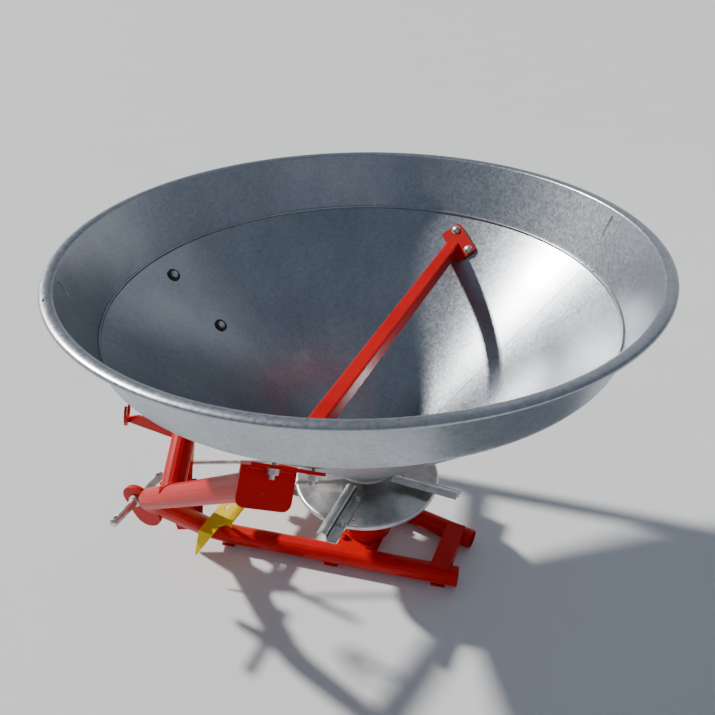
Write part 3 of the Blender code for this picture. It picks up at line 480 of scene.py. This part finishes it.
def round_direction(nodes, links, reach, drop):
    """Coordinates that vary round the hopper and hardly at all down its wall."""
    source = add_node(nodes, "ShaderNodeTexCoord")
    level = add_node(nodes, "ShaderNodeVectorMath", operation="MULTIPLY")
    level.inputs[1].default_value = (1.0, 1.0, 0.0)
    links.new(source.outputs["Object"], level.inputs[0])
    unit = add_node(nodes, "ShaderNodeVectorMath", operation="NORMALIZE")
    links.new(level.outputs[0], unit.inputs[0])
    wide = add_node(nodes, "ShaderNodeVectorMath", operation="MULTIPLY")
    wide.inputs[1].default_value = (reach, reach, reach)
    links.new(unit.outputs[0], wide.inputs[0])
    tall = add_node(nodes, "ShaderNodeVectorMath", operation="MULTIPLY")
    tall.inputs[1].default_value = (0.0, 0.0, drop)
    links.new(source.outputs["Object"], tall.inputs[0])
    both = add_node(nodes, "ShaderNodeVectorMath", operation="ADD")
    links.new(wide.outputs[0], both.inputs[0])
    links.new(tall.outputs[0], both.inputs[1])
    return both.outputs[0]


def galvanised_finish(color):
    """Spangled zinc with run-off streaks, water marks and fine scratches."""
    mat, nodes, links = new_finish("galvanised_sheet")
    shader = nodes["Principled BSDF"]
    dark, mid, light = shades(color, 0.90, 1.0, 1.08)
    spangle = add_node(nodes, "ShaderNodeTexVoronoi", feature="F1")
    spangle.inputs["Scale"].default_value = 150.0
    links.new(coords(nodes, links, (1.0, 1.0, 1.0)), spangle.inputs["Vector"])
    grey = add_node(nodes, "ShaderNodeRGBToBW")
    links.new(spangle.outputs["Color"], grey.inputs["Color"])
    cells = ramp_of(nodes, links, grey.outputs["Val"], [(0.15, dark), (0.5, mid), (0.9, light)])
    streak = add_node(nodes, "ShaderNodeTexNoise")
    streak.inputs["Scale"].default_value = 1.0
    streak.inputs["Detail"].default_value = 6.0
    streak.inputs["Roughness"].default_value = 0.62
    links.new(round_direction(nodes, links, 3.2, 2.4), streak.inputs["Vector"])
    streaks = ramp_of(nodes, links, streak.outputs["Fac"], [(0.34, 0.90), (0.55, 1.0), (0.72, 1.04)])
    base = blend_color(nodes, links, "MULTIPLY", 0.85, cells, streaks)
    cloud = noise_of(nodes, links, (1, 1, 1), 4.5, 5.0, 0.6)
    clouds = ramp_of(nodes, links, cloud, [(0.34, (0.78, 0.80, 0.83)), (0.60, (1.0, 1.0, 1.0))])
    base = blend_color(nodes, links, "MULTIPLY", 0.8, base, clouds)
    fine = noise_of(nodes, links, (150.0, 150.0, 9.0), 1.0, 3.0, 0.7)
    scratches = ramp_of(nodes, links, fine, [(0.63, 0.0), (0.70, 1.0)])
    base = blend_color(nodes, links, "MIX", scratches, base, light)
    links.new(base, shader.inputs["Base Color"])
    rough = ramp_of(nodes, links, grey.outputs["Val"], [(0.0, 0.27), (1.0, 0.36)])
    rough = blend_color(nodes, links, "MIX", clouds, (0.46, 0.46, 0.46), rough)
    links.new(rough, shader.inputs["Roughness"])
    shader.inputs["Metallic"].default_value = 0.92
    links.new(bump_of(nodes, links, cloud, 0.10, 0.003,
                      bump_of(nodes, links, grey.outputs["Val"], 0.05, 0.0006)),
              shader.inputs["Normal"])
    return mat


def paint_finish(name, color, roughness, dust, wear=0.045):
    """Gloss paint with orange peel, dust on what faces up, and worn specks."""
    mat, nodes, links = new_finish(name)
    shader = nodes["Principled BSDF"]
    dull, mid, bright = shades(color, 0.86, 1.0, 1.08)
    shader.inputs["Specular IOR Level"].default_value = 0.18
    patch = noise_of(nodes, links, (1, 1, 1), 7.0, 5.0)
    base = ramp_of(nodes, links, patch, [(0.32, dull), (0.50, mid), (0.72, bright)])
    geometry = add_node(nodes, "ShaderNodeNewGeometry")
    parts = add_node(nodes, "ShaderNodeSeparateXYZ")
    links.new(geometry.outputs["Normal"], parts.inputs["Vector"])
    facing = ramp_of(nodes, links, parts.outputs["Z"], [(0.45, 0.0), (0.98, dust)])
    grain = noise_of(nodes, links, (1, 1, 1), 34.0, 6.0, 0.7)
    settled = ramp_of(nodes, links, grain, [(0.36, 0.15), (0.66, 1.0)])
    settled = blend_color(nodes, links, "MULTIPLY", 1.0, facing, settled)
    base = blend_color(nodes, links, "MIX", settled, base, (0.46, 0.38, 0.29))
    fleck = noise_of(nodes, links, (1, 1, 1), 95.0, 5.0, 0.72)
    flecks = ramp_of(nodes, links, fleck, [(0.705 - wear, 0.0), (0.725 - wear, 1.0)])
    base = blend_color(nodes, links, "MIX", flecks, base, (0.115, 0.07, 0.055))
    links.new(base, shader.inputs["Base Color"])
    rough = ramp_of(nodes, links, patch, [(0.3, roughness), (0.8, roughness + 0.14)])
    rough = blend_color(nodes, links, "MIX", settled, rough, (0.8, 0.8, 0.8))
    links.new(rough, shader.inputs["Roughness"])
    shader.inputs["Coat Weight"].default_value = 0.06
    shader.inputs["Coat Roughness"].default_value = 0.10
    peel = noise_of(nodes, links, (1, 1, 1), 260.0, 2.0)
    links.new(bump_of(nodes, links, peel, 0.06, 0.0006,
                      bump_of(nodes, links, flecks, 0.25, -0.0004)), shader.inputs["Normal"])
    return mat


def bare_metal(name, color, roughness, grain_scale, spots=(0.60, 0.75), metallic=1.0):
    """Plated or machined metal with grain, handling marks and dull spots."""
    mat, nodes, links = new_finish(name)
    shader = nodes["Principled BSDF"]
    dark, mid, light = shades(color, 0.72, 1.0, 1.15)
    cloud = noise_of(nodes, links, (1, 1, 1), 22.0, 5.0, 0.6)
    base = ramp_of(nodes, links, cloud, [(0.32, dark), (0.5, mid), (0.7, light)])
    spot = noise_of(nodes, links, (1, 1, 1), 60.0, 4.0, 0.7)
    stain = ramp_of(nodes, links, spot, [(spots[0], 0.0), (spots[1], 0.8)])
    base = blend_color(nodes, links, "MIX", stain, base, tuple(0.45 * c for c in color))
    links.new(base, shader.inputs["Base Color"])
    grain = noise_of(nodes, links, grain_scale, 1.0, 3.0)
    rough = ramp_of(nodes, links, grain, [(0.3, roughness - 0.08), (0.7, roughness + 0.12)])
    rough = blend_color(nodes, links, "MIX", stain, rough, (0.62, 0.62, 0.62))
    links.new(rough, shader.inputs["Roughness"])
    shader.inputs["Metallic"].default_value = metallic
    links.new(bump_of(nodes, links, grain, 0.08, 0.0004), shader.inputs["Normal"])
    return mat


def rubber_finish():
    """Black rubber and plastic with a dusty bloom."""
    mat, nodes, links = new_finish("black_rubber")
    shader = nodes["Principled BSDF"]
    bloom = noise_of(nodes, links, (1, 1, 1), 80.0, 5.0, 0.65)
    base = ramp_of(nodes, links, bloom, [(0.35, 0.018), (0.75, 0.055)])
    links.new(base, shader.inputs["Base Color"])
    rough = ramp_of(nodes, links, bloom, [(0.3, 0.55), (0.7, 0.78)])
    links.new(rough, shader.inputs["Roughness"])
    links.new(bump_of(nodes, links, bloom, 0.15, 0.0005), shader.inputs["Normal"])
    return mat


FINISHES = {}


def make_finishes(colours):
    FINISHES["galvanised"] = galvanised_finish(tuple(colours.zinc))
    FINISHES["red_paint"] = paint_finish("red_frame_paint", tuple(colours.red), 0.34, 0.012)
    FINISHES["yellow_paint"] = paint_finish("yellow_guard_paint", tuple(colours.yellow), 0.34,
                                            0.08)
    FINISHES["zinc"] = bare_metal("zinc_plate", (0.66, 0.66, 0.63), 0.34, (90, 90, 90))
    FINISHES["stainless"] = bare_metal("stainless_sheet", (0.62, 0.62, 0.61), 0.36,
                                       (30, 30, 220), (0.66, 0.80))
    FINISHES["dark_steel"] = bare_metal("oiled_steel", (0.20, 0.19, 0.18), 0.40, (160, 30, 30))
    FINISHES["weld"] = paint_finish("painted_weld", tuple(0.9 * c for c in colours.red), 0.36,
                                    0.02, 0.06)
    FINISHES["rubber"] = rubber_finish()
    FINISHES["patina"] = bare_metal("yellow_zinc", (0.55, 0.42, 0.18), 0.38, (80, 80, 80))


# ---- operators -------------------------------------------------------------------
class SPREADER_OT_finishes(bpy.types.Operator):
    """Give every CAD node its finish, and soften the sheared edges of the plates"""
    bl_idname = "spreader.finishes"
    bl_label = "Finishes"

    def execute(self, context):
        make_finishes(context.scene.spreader_colours)
        slots = {row["node"]: row["material_slot"] for row in frame["record"]["subparts"]}
        for name, obj in NODES.items():
            finish = FINISHES[slots[name]]
            if not obj.data.materials:
                raise RuntimeError("%s has no material slot" % name)
            for place in obj.material_slots:
                place.material = finish
        rounding = context.scene.spreader_sizes.edge_round
        for name in ("side_bracket_left", "side_bracket_right", "brace_flange_left",
                     "brace_flange_right", "front_strap", "top_link_plate_left",
                     "top_link_plate_right", "hitch_lug_left", "hitch_lug_right", "shaft_rest",
                     "rear_cross_bar", "gearbox_plate", "gearbox_cover", "quadrant",
                     "control_lever"):
            bevel = NODES[name].modifiers.new("edges", "BEVEL")
            bevel.width = rounding
            bevel.segments = 2
            bevel.limit_method = "ANGLE"
            bevel.angle_limit = math.radians(50)
            bevel.harden_normals = True
        return {"FINISHED"}


class SPREADER_OT_hopper(bpy.types.Operator):
    """Cone, upper band with its rolled rim, the crease swage, seams and weld spots"""
    bl_idname = "spreader.hopper"
    bl_label = "Hopper"

    def execute(self, context):
        sizes = context.scene.spreader_sizes
        sides = sizes.hopper_sides
        zinc = FINISHES["galvanised"]
        neck = RIM_R - 0.026
        low = CREASE_R + 0.004
        roll = sizes.rim_roll / 2
        wide = (RIM_R - neck) / 2
        profile = []
        for i in range(19):
            a = math.radians(170 - 200 * i / 18)
            profile.append((RIM_R - wide + wide * math.cos(a),
                            RIM_Z - roll * 1.3 + roll * 1.3 * math.sin(a)))
        profile += [(RIM_R - 0.0045, RIM_Z - roll * 2.15), (RIM_R - 0.0075, RIM_Z - roll * 1.75),
                    (neck + 0.006, RIM_Z - 0.0062), (neck + 0.003, RIM_Z - 0.012),
                    (low + SHEET, CREASE_Z + 0.010), (low + SHEET + 0.0010, CREASE_Z + 0.005),
                    (CREASE_R + 0.0012, CREASE_Z + 0.0003),
                    (CREASE_R - 0.0024, CREASE_Z + 0.0003), (low - 0.0004, CREASE_Z + 0.009)]
        band = add_piece("hopper_band_rolled", turned(profile, sides), zinc, "frame")
        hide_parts("hopper_band")
        self.add_cone(sides)
        slot = math.radians(-132.3)
        hole = placed(block((-0.005, -0.0022, -0.03), (0.005, 0.0022, 0.03)),
                      Matrix.Translation(((RIM_R - 0.009) * math.cos(slot),
                                          (RIM_R - 0.009) * math.sin(slot), RIM_Z))
                      @ Matrix.Rotation(slot + math.pi / 2, 4, "Z"))
        cut(band, hole)
        bead = sizes.crease_bead
        ring = []
        for i in range(12):
            a = 2 * math.pi * i / 12
            ring.append((CREASE_R - 0.0022 + bead * math.cos(a), CREASE_Z + 0.0020
                         + bead * 1.2 * math.sin(a)))
        add_piece("crease_swage", turned(ring, sides), zinc, "frame")
        seams = []
        for azimuth in (38.0, -142.0):
            a = math.radians(azimuth)
            lap = []
            for level in (0.803, 0.918):
                share = (level - CREASE_Z) / (RIM_Z - CREASE_Z)
                r = low + (neck - low) * share + 0.0002
                lap.append(Vector((r * math.cos(a), r * math.sin(a), level)))
            seams.append(weld_line(lap, 0.0013, azimuth))
            for depth in (-SHEET, 0.0):
                run = [cone_place(azimuth, z, depth) for z in (OUTLET_Z + 0.02, CREASE_Z - 0.01)]
                seams.append(weld_line(run, 0.0009, azimuth + depth))
        for step in range(5):
            a = math.radians(34.0 + 2.1 * step)
            r = CREASE_R - 0.003
            start = Vector((r * math.cos(a), r * math.sin(a), CREASE_Z + 0.0065))
            end = start + Vector((-0.011 * math.sin(a), 0.011 * math.cos(a), 0.0005))
            seams.append(weld_line([start, end], 0.0022, 20.0 + step))
        add_piece("sheet_seams", merged(seams), zinc, "frame")
        return {"FINISHED"}


    def add_cone(self, sides):
        """Smooth conical wall with the six bolt holes of the faceted one."""
        level = SHEET / math.cos(CONE_ANGLE)
        profile = [(CREASE_R, CREASE_Z), (OUTLET_R, OUTLET_Z), (OUTLET_R - level, OUTLET_Z),
                   (CREASE_R - level, CREASE_Z)]
        cone = add_piece("hopper_cone_rolled", turned(profile, sides), FINISHES["galvanised"],
                         "frame")
        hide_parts("hopper_cone")
        spots = [front_frame(z) for z in FRONT_BOLT_Z]
        for x in (-BOLT_PITCH / 2, BOLT_PITCH / 2):
            spot = side_frame(0.0) @ Matrix.Translation((x, 0, 0))
            spots += [matrix for _, matrix in both_sides(spot)]
        cut(cone, merged([placed(cylinder(BOLT_HOLE_R, -0.02, 0.02), spot) for spot in spots]))


class SPREADER_OT_hopper_bolts(bpy.types.Operator):
    """Sealing washers under the bolt heads, and washers and nuts outside"""
    bl_idname = "spreader.hopper_bolts"
    bl_label = "Hopper bolts"

    def execute(self, context):
        outer = context.scene.spreader_sizes.washer_radius
        for label, z in zip(("upper", "lower"), FRONT_BOLT_Z):
            under = front_frame(z, INSIDE_OFF)
            add_piece("seal_washer_front_" + label,
                      washer(WASHER_HOLE_R, outer, 0.0, 0.0031), FINISHES["rubber"], "frame",
                      matrix=under)
            cap = front_frame(z, INSIDE_OFF) @ Matrix.Rotation(math.pi, 4, "X")
            add_piece("dome_front_" + label, domed(0.0105, 0.0072), FINISHES["zinc"], "frame",
                      cap)
        for label, x in (("front", -BOLT_PITCH / 2), ("rear", BOLT_PITCH / 2)):
            inner = side_frame(INSIDE_OFF - FLANGE_T) @ Matrix.Translation((x, 0, 0)) \
                @ Matrix.Rotation(math.pi, 4, "X")
            face = side_frame(PLATE_OFF + PLATE_T) @ Matrix.Translation((x, 0, 0))
            for side, matrix in both_sides(inner):
                mesh = merged([washer(WASHER_HOLE_R, 0.0125, 0.0, 0.0014), domed(0.0102, 0.0070)])
                add_piece("dome_%s_%s" % (label, side), mesh, FINISHES["zinc"], "frame",
                          matrix)
            for side, matrix in both_sides(face):
                mesh = merged([washer(WASHER_HOLE_R, 0.0122, 0.0002, 0.0016),
                               placed(nut(0.0185, 0.0086, WASHER_HOLE_R),
                                      Matrix.Translation((0, 0, 0.0016)))])
                add_piece("nut_%s_%s" % (label, side), mesh, FINISHES["zinc"], "frame",
                          matrix)
        return {"FINISHED"}


class SPREADER_OT_spinner(bpy.types.Operator):
    """Spinner disc with its holes, pressed vanes and their bolts"""
    bl_idname = "spreader.spinner"
    bl_label = "Spinner"

    def execute(self, context):
        steel = FINISHES["stainless"]
        bore = 0.0128
        edge = 0.006
        low = DISC_Z - 0.003
        profile = [(bore, DISC_Z), (DISC_R - 0.010, DISC_Z)]
        for i in range(7):
            a = math.radians(90 - 15 * i)
            profile.append((DISC_R - edge + edge * math.cos(a),
                            DISC_Z - edge + edge * math.sin(a)))
        profile += [(DISC_R, DISC_Z - 0.0115), (DISC_R - 0.003, DISC_Z - 0.0118),
                    (DISC_R - 0.003, DISC_Z - 0.006), (DISC_R - 0.007, low), (0.030, low),
                    (0.028, DISC_LOW.z + 0.0003), (bore, DISC_LOW.z + 0.0003)]
        disc = add_piece("spinner_disc_pressed", turned(profile, 144), steel, "spinner")
        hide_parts("spinner_disc")
        holes = []
        ring = DISC_R - 0.022
        for i in range(4):
            a = math.radians(11 + 90 * i)
            hole = cylinder(0.0040, DISC_Z - 0.02, DISC_Z + 0.02, 20)
            holes.append(placed(hole, Matrix.Translation((ring * math.cos(a),
                                                          ring * math.sin(a), 0.0))))
        cut(disc, merged(holes))
        vane_low, vane_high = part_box("vane_1")
        foot = vane_high.x
        height = vane_high.z - vane_low.z
        thick = 0.0025
        bend = 0.0055
        outline = [(0.004, 0.0), (foot, 0.0), (foot, thick), (bend, thick)]
        for i in range(5):
            a = math.radians(270 - 22.5 * i)
            outline.append((bend + 0.003 * math.cos(a), bend + 0.003 * math.sin(a)))
        outline += [(0.0025, height - 0.008)]
        crest = 7
        for i in range(crest + 1):
            a = math.radians(112 * i / crest)
            outline.append((-0.0105 + 0.013 * math.cos(a), height - 0.013 + 0.013 * math.sin(a)))
        outline.append((vane_low.x + 0.0002, height - 0.0085))
        outline.append((vane_low.x + 0.0009, height - 0.0108))
        for i in range(crest + 1):
            a = math.radians(112 - 112 * i / crest)
            outline.append((-0.0105 + 0.0105 * math.cos(a), height - 0.013
                            + 0.0105 * math.sin(a)))
        outline += [(0.0, bend)]
        for i in range(4):
            a = math.radians(180 + 22.5 * (i + 1))
            outline.append((bend + bend * math.cos(a), bend + bend * math.sin(a)))
        length = vane_high.y - vane_low.y
        middle = (vane_high.y + vane_low.y) / 2
        stand = axes_at((0, middle, vane_low.z), (1, 0, 0), (0, -1, 0))
        for i in range(4):
            turn = Matrix.Rotation(math.pi / 2 * i, 4, "Z")
            vane = add_piece("vane_%d_pressed" % (i + 1), plate(outline, length), steel,
                             "spinner", turn @ stand)
            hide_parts("vane_%d" % (i + 1))
            bolts = []
            for y in (vane_high.y - 0.022, middle - 0.028):
                spot = turn @ Matrix.Translation((0.0155, y, vane_low.z + thick))
                bolts.append(placed(washer(0.003, 0.0082, 0.0, 0.0012), spot))
                bolts.append(placed(nut(0.0125, 0.0062, 0.004),
                                    spot @ Matrix.Translation((0, 0, 0.0012))))
                bolts.append(placed(cylinder(0.0038, 0.0, 0.0112, 16), spot))
            add_piece("vane_bolts_%d" % (i + 1), merged(bolts), FINISHES["zinc"], "spinner")
        return {"FINISHED"}


class SPREADER_OT_guard(bpy.types.Operator):
    """Drive guard with its two oval grease holes"""
    bl_idname = "spreader.guard"
    bl_label = "Drive guard"

    def execute(self, context):
        source = NODES["drive_guard"]
        guard = add_piece("drive_guard_sheet", source.data.copy(), FINISHES["yellow_paint"],
                          "frame")
        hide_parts("drive_guard")
        low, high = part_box("drive_guard")
        for y in (-0.160, 0.160):
            oval = placed(cylinder(0.0062, high.z - 0.02, high.z + 0.02, 28),
                          Matrix.Translation((low.x + 0.024, y, 0)) @ Matrix.Diagonal(
                              (1.0, 1.9, 1.0, 1.0)))
            cut(guard, oval)
        return {"FINISHED"}


class SPREADER_OT_welds(bpy.types.Operator):
    """Weld beads where plates and tubes of the frame meet"""
    bl_idname = "spreader.welds"
    bl_label = "Welds"

    def execute(self, context):
        size = context.scene.spreader_sizes.weld_radius
        finish = FINISHES["weld"]
        lines = [(self.mast_joint(), size), (self.bracket_joint(), size)]
        for label in ("front", "middle", "rear"):
            foot_low, foot_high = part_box("foot_%s_left" % label)
            centre = (foot_low + foot_high) / 2
            along = rail_direction()
            side = Vector((along.y, -along.x, 0.0))
            for way in (-1, 1):
                start = Vector((centre.x, centre.y, foot_high.z + 0.0015)) + side * way * 0.0125
                lines.append(([start - along * 0.015, start + along * 0.015], size * 0.85))
        base = side_frame(PLATE_OFF + PLATE_T)
        y = -0.022 + PLATE_T + 0.0012
        lines.append(([base @ Vector((-0.080, y, 0.0012)), base @ Vector((0.006, y, 0.0012))],
                      size))
        left = [weld_line(points, radius, 11.0 + i) for i, (points, radius) in enumerate(lines)]
        whole = merged(left)
        mirrored = placed(whole.copy(), MIRROR_Y)
        add_piece("frame_welds_left", whole, finish, "frame")
        add_piece("frame_welds_right", mirrored, finish, "frame")
        neck = []
        for i in range(25):
            a = 2 * math.pi * i / 24
            neck.append(Vector((0.0355 * math.cos(a), 0.0355 * math.sin(a),
                                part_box("gearbox_housing")[1].z + 0.008)))
        add_piece("neck_weld", weld_line(neck, 0.0026, 2.0), finish, "frame")
        return {"FINISHED"}

    def mast_joint(self):
        """Points round the mast leg where it meets the rail."""
        head = rail_head()
        foot = CORNER.lerp(head, MAST_FOOT_AT)
        along = (mast_top() - foot).normalized()
        rail = (head - CORNER).normalized()
        side = axes_at(foot, rail, along)
        points = []
        for i in range(33):
            a = 2 * math.pi * i / 32
            start = side @ Vector((TUBE_R * math.cos(a), TUBE_R * math.sin(a), 0.0)) - foot
            flat_start = start - rail * start.dot(rail)
            flat_along = along - rail * along.dot(rail)
            half = flat_start.dot(flat_along)
            square = flat_along.length_squared
            rest = flat_start.length_squared - TUBE_R ** 2
            reach = (-half + math.sqrt(max(0.0, half * half - square * rest))) / square
            points.append(foot + start + along * (reach + 0.0006))
        return points

    def bracket_joint(self):
        """Points round the rail where it ends on the bracket's leg."""
        head = rail_head()
        rail = (head - CORNER).normalized()
        face = side_frame(PLATE_OFF)
        normal = face.to_3x3() @ Vector((0, 1, 0))
        on_face = face @ Vector((0, -0.0232, 0))
        side = axes_at(head, normal, rail)
        points = []
        for i in range(33):
            a = 2 * math.pi * i / 32
            start = side @ Vector(((TUBE_R + 0.0006) * math.cos(a),
                                   (TUBE_R + 0.0006) * math.sin(a), 0.0))
            points.append(start + rail * ((on_face - start).dot(normal) / rail.dot(normal)))
        return points


class SPREADER_OT_gearbox(bpy.types.Operator):
    """Bolts, lug, plug and input seal of the gearbox"""
    bl_idname = "spreader.gearbox"
    bl_label = "Gearbox"

    def execute(self, context):
        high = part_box("gearbox_housing")[1]
        plate_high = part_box("gearbox_plate")[1]
        case_r = high.x
        heads = []
        for i in range(6):
            a = math.radians(30 + 60 * i)
            spot = Matrix.Translation(((case_r - 0.010) * math.cos(a),
                                       (case_r - 0.010) * math.sin(a), high.z + 0.0064))
            heads.append(placed(nut(0.010, 0.0052, 0.003), spot))
        add_piece("cover_bolts", merged(heads), FINISHES["zinc"], "frame")
        feet = []
        for sx in (-1, 1):
            for sy in (-1, 1):
                spot = Matrix.Translation((sx * (plate_high.x - 0.011), sy * 0.066,
                                           plate_high.z + 0.0002))
                feet.append(placed(washer(0.004, 0.0100, 0.0, 0.0014), spot))
                feet.append(placed(nut(0.0160, 0.0075, 0.004),
                                   spot @ Matrix.Translation((0, 0, 0.0014))))
                feet.append(placed(cylinder(0.0044, 0.0, 0.014, 16), spot))
        add_piece("gearbox_foot_bolts", merged(feet), FINISHES["red_paint"], "frame")
        ear = placed(plate([(-0.014, -0.026), (0.014, -0.026), (0.014, 0.016), (0.008, 0.022),
                            (-0.008, 0.022), (-0.014, 0.016)], 0.006),
                     axes_at((-0.012, -case_r - 0.0032, 0.110), (1, 0, 0), (0, -1, 0)))
        add_piece("case_lug", ear, FINISHES["red_paint"], "frame")
        plug = placed(nut(0.014, 0.007, 0.004),
                      axes_at((-0.012, -case_r - 0.0062, 0.112), (0, 0, 1), (0, -1, 0)))
        add_piece("case_lug_bolt", plug, FINISHES["zinc"], "frame")
        seal = placed(washer(0.0156, 0.0215, 0.0, 0.0035),
                      axes_at((-0.1222, 0, SHAFT_Z), (0, 0, 1), (1, 0, 0)))
        add_piece("input_seal", seal, FINISHES["rubber"], "frame")
        return {"FINISHED"}


class SPREADER_OT_controls(bpy.types.Operator):
    """Toothed lever rack and the rod's lock nuts"""
    bl_idname = "spreader.controls"
    bl_label = "Gate controls"

    def execute(self, context):
        out = Vector((-math.cos(math.radians(ROD_ANGLE)), -math.sin(math.radians(ROD_ANGLE)), 0))
        frame_at = axes_at((0, 0, 0), out, (0, 0, 1))
        lean = math.atan(HALF_TRAVEL / (ROD_Z - LEVER_PIVOT.z))
        rack_frame = frame_at @ Matrix.Translation(LEVER_PIVOT) \
            @ Matrix.Rotation(math.radians(90), 4, "X") @ Matrix.Rotation(lean, 4, "Z")
        teeth = [(0.004, 0.150), (0.004, 0.222)]
        for i in range(12):
            z = 0.222 - 0.006 * i
            teeth += [(-0.0155, z), (-0.0120, z - 0.003)]
        teeth.append((-0.0155, 0.150))
        add_piece("lever_rack", plate(teeth, 0.0025), FINISHES["patina"], "lever",
                  matrix=rack_frame)
        nuts = []
        for x in (0.118, 0.128):
            spot = frame_at @ Matrix.Translation((x, 0, ROD_Z)) \
                @ Matrix.Rotation(math.radians(90), 4, "Y")
            nuts.append(placed(nut(0.016, 0.006, 0.0055), spot))
        add_piece("rod_lock_nuts", merged(nuts), FINISHES["zinc"], "gate")
        return {"FINISHED"}


class SPREADER_OT_stage(bpy.types.Operator):
    """Pale floor, soft studio light and the camera"""
    bl_idname = "spreader.stage"
    bl_label = "Stage"

    def execute(self, context):
        stage = context.scene.spreader_stage
        colours = context.scene.spreader_colours
        mat, nodes, links = new_finish("studio_floor")
        shader = nodes["Principled BSDF"]
        shade = noise_of(nodes, links, (1, 1, 1), 2.0, 3.0)
        floor_color = tuple(colours.floor)
        base = ramp_of(nodes, links, shade, [(0.3, shades(floor_color, 0.97)[0]),
                                             (0.7, floor_color)])
        links.new(base, shader.inputs["Base Color"])
        shader.inputs["Roughness"].default_value = 0.85
        mesh = block((-60.0, -60.0, -0.02), (60.0, 60.0, -0.0002))
        floor = bpy.data.objects.new("studio_floor", mesh)
        mesh.materials.append(mat)
        context.scene.collection.objects.link(floor)
        world = bpy.data.worlds.new("studio")
        world.use_nodes = True
        nodes, links = world.node_tree.nodes, world.node_tree.links
        way = add_node(nodes, "ShaderNodeTexCoord")
        parts = add_node(nodes, "ShaderNodeSeparateXYZ")
        links.new(way.outputs["Generated"], parts.inputs["Vector"])
        low, high = (0.80, 0.82, 0.84), (0.165, 0.20, 0.25)
        links.new(ramp_of(nodes, links, parts.outputs["Z"], [(0.06, low), (0.26, high)]),
                  nodes["Background"].inputs["Color"])
        nodes["Background"].inputs["Strength"].default_value = stage.world_level
        context.scene.world = world
        for name, place, size, power, tint in (
                ("fill", (2.2, -3.0, 2.2), 3.0, stage.fill_power, (0.93, 0.96, 1.0)),
                ("back", (0.8, 3.0, 2.6), 2.6, stage.fill_power * 1.2, (1.0, 1.0, 1.0))):
            lamp = bpy.data.lights.new(name, "AREA")
            lamp.energy = power
            lamp.size = size
            lamp.color = tint
            holder = bpy.data.objects.new(name, lamp)
            holder.location = place
            aim = Vector((0, 0, 0.4)) - Vector(place)
            holder.rotation_euler = aim.to_track_quat("-Z", "Y").to_euler()
            context.scene.collection.objects.link(holder)
        lamp = bpy.data.lights.new("key", "SUN")
        lamp.energy = stage.key_strength
        lamp.angle = stage.key_softness
        lamp.color = (1.0, 0.97, 0.92)
        holder = bpy.data.objects.new("key", lamp)
        way = Vector((0.786, -0.139, -0.602))
        holder.rotation_euler = way.to_track_quat("-Z", "Y").to_euler()
        context.scene.collection.objects.link(holder)
        data = bpy.data.cameras.new("camera")
        data.sensor_width = 36.0
        data.lens = 34.26
        data.shift_x = -0.0404
        data.shift_y = 0.0019
        camera = bpy.data.objects.new("camera", data)
        camera.location = (0.557, -1.264, 1.525)
        forward = Vector((-0.3082, 0.7776, -0.5480))
        camera.rotation_mode = "QUATERNION"
        camera.rotation_quaternion = forward.to_track_quat("-Z", "Y")
        context.scene.collection.objects.link(camera)
        context.scene.camera = camera
        return {"FINISHED"}


OPERATORS = (SPREADER_OT_finishes, SPREADER_OT_hopper, SPREADER_OT_hopper_bolts,
             SPREADER_OT_spinner, SPREADER_OT_guard, SPREADER_OT_welds, SPREADER_OT_gearbox,
             SPREADER_OT_controls, SPREADER_OT_stage)


class SPREADER_PT_panel(bpy.types.Panel):
    """Sidebar panel that lists the steps"""
    bl_idname = "SPREADER_PT_panel"
    bl_label = "Fertiliser spreader"
    bl_space_type = "VIEW_3D"
    bl_region_type = "UI"
    bl_category = "Spreader"

    def draw(self, context):
        for group in ("spreader_colours", "spreader_sizes", "spreader_stage"):
            settings = getattr(context.scene, group)
            for name in settings.bl_rna.properties.keys():
                if name not in ("rna_type", "name"):
                    self.layout.prop(settings, name)
        for operator in OPERATORS:
            self.layout.operator(operator.bl_idname)


SETTINGS = (("spreader_colours", SpreaderColours), ("spreader_sizes", SpreaderSizes),
            ("spreader_stage", SpreaderStage))
CLASSES = tuple(kind for _, kind in SETTINGS) + OPERATORS + (SPREADER_PT_panel,)


def register():
    for cls in CLASSES:
        bpy.utils.register_class(cls)
    for name, kind in SETTINGS:
        setattr(bpy.types.Scene, name, PointerProperty(type=kind))


def unregister():
    for name, _ in SETTINGS:
        delattr(bpy.types.Scene, name)
    for cls in reversed(CLASSES):
        bpy.utils.unregister_class(cls)


def main():
    register()
    for operator in OPERATORS:
        group, name = operator.bl_idname.split(".")
        result = getattr(getattr(bpy.ops, group), name)()
        if result != {"FINISHED"}:
            raise RuntimeError("%s did not finish" % operator.bl_idname)


if __name__ == "__main__":
    main()
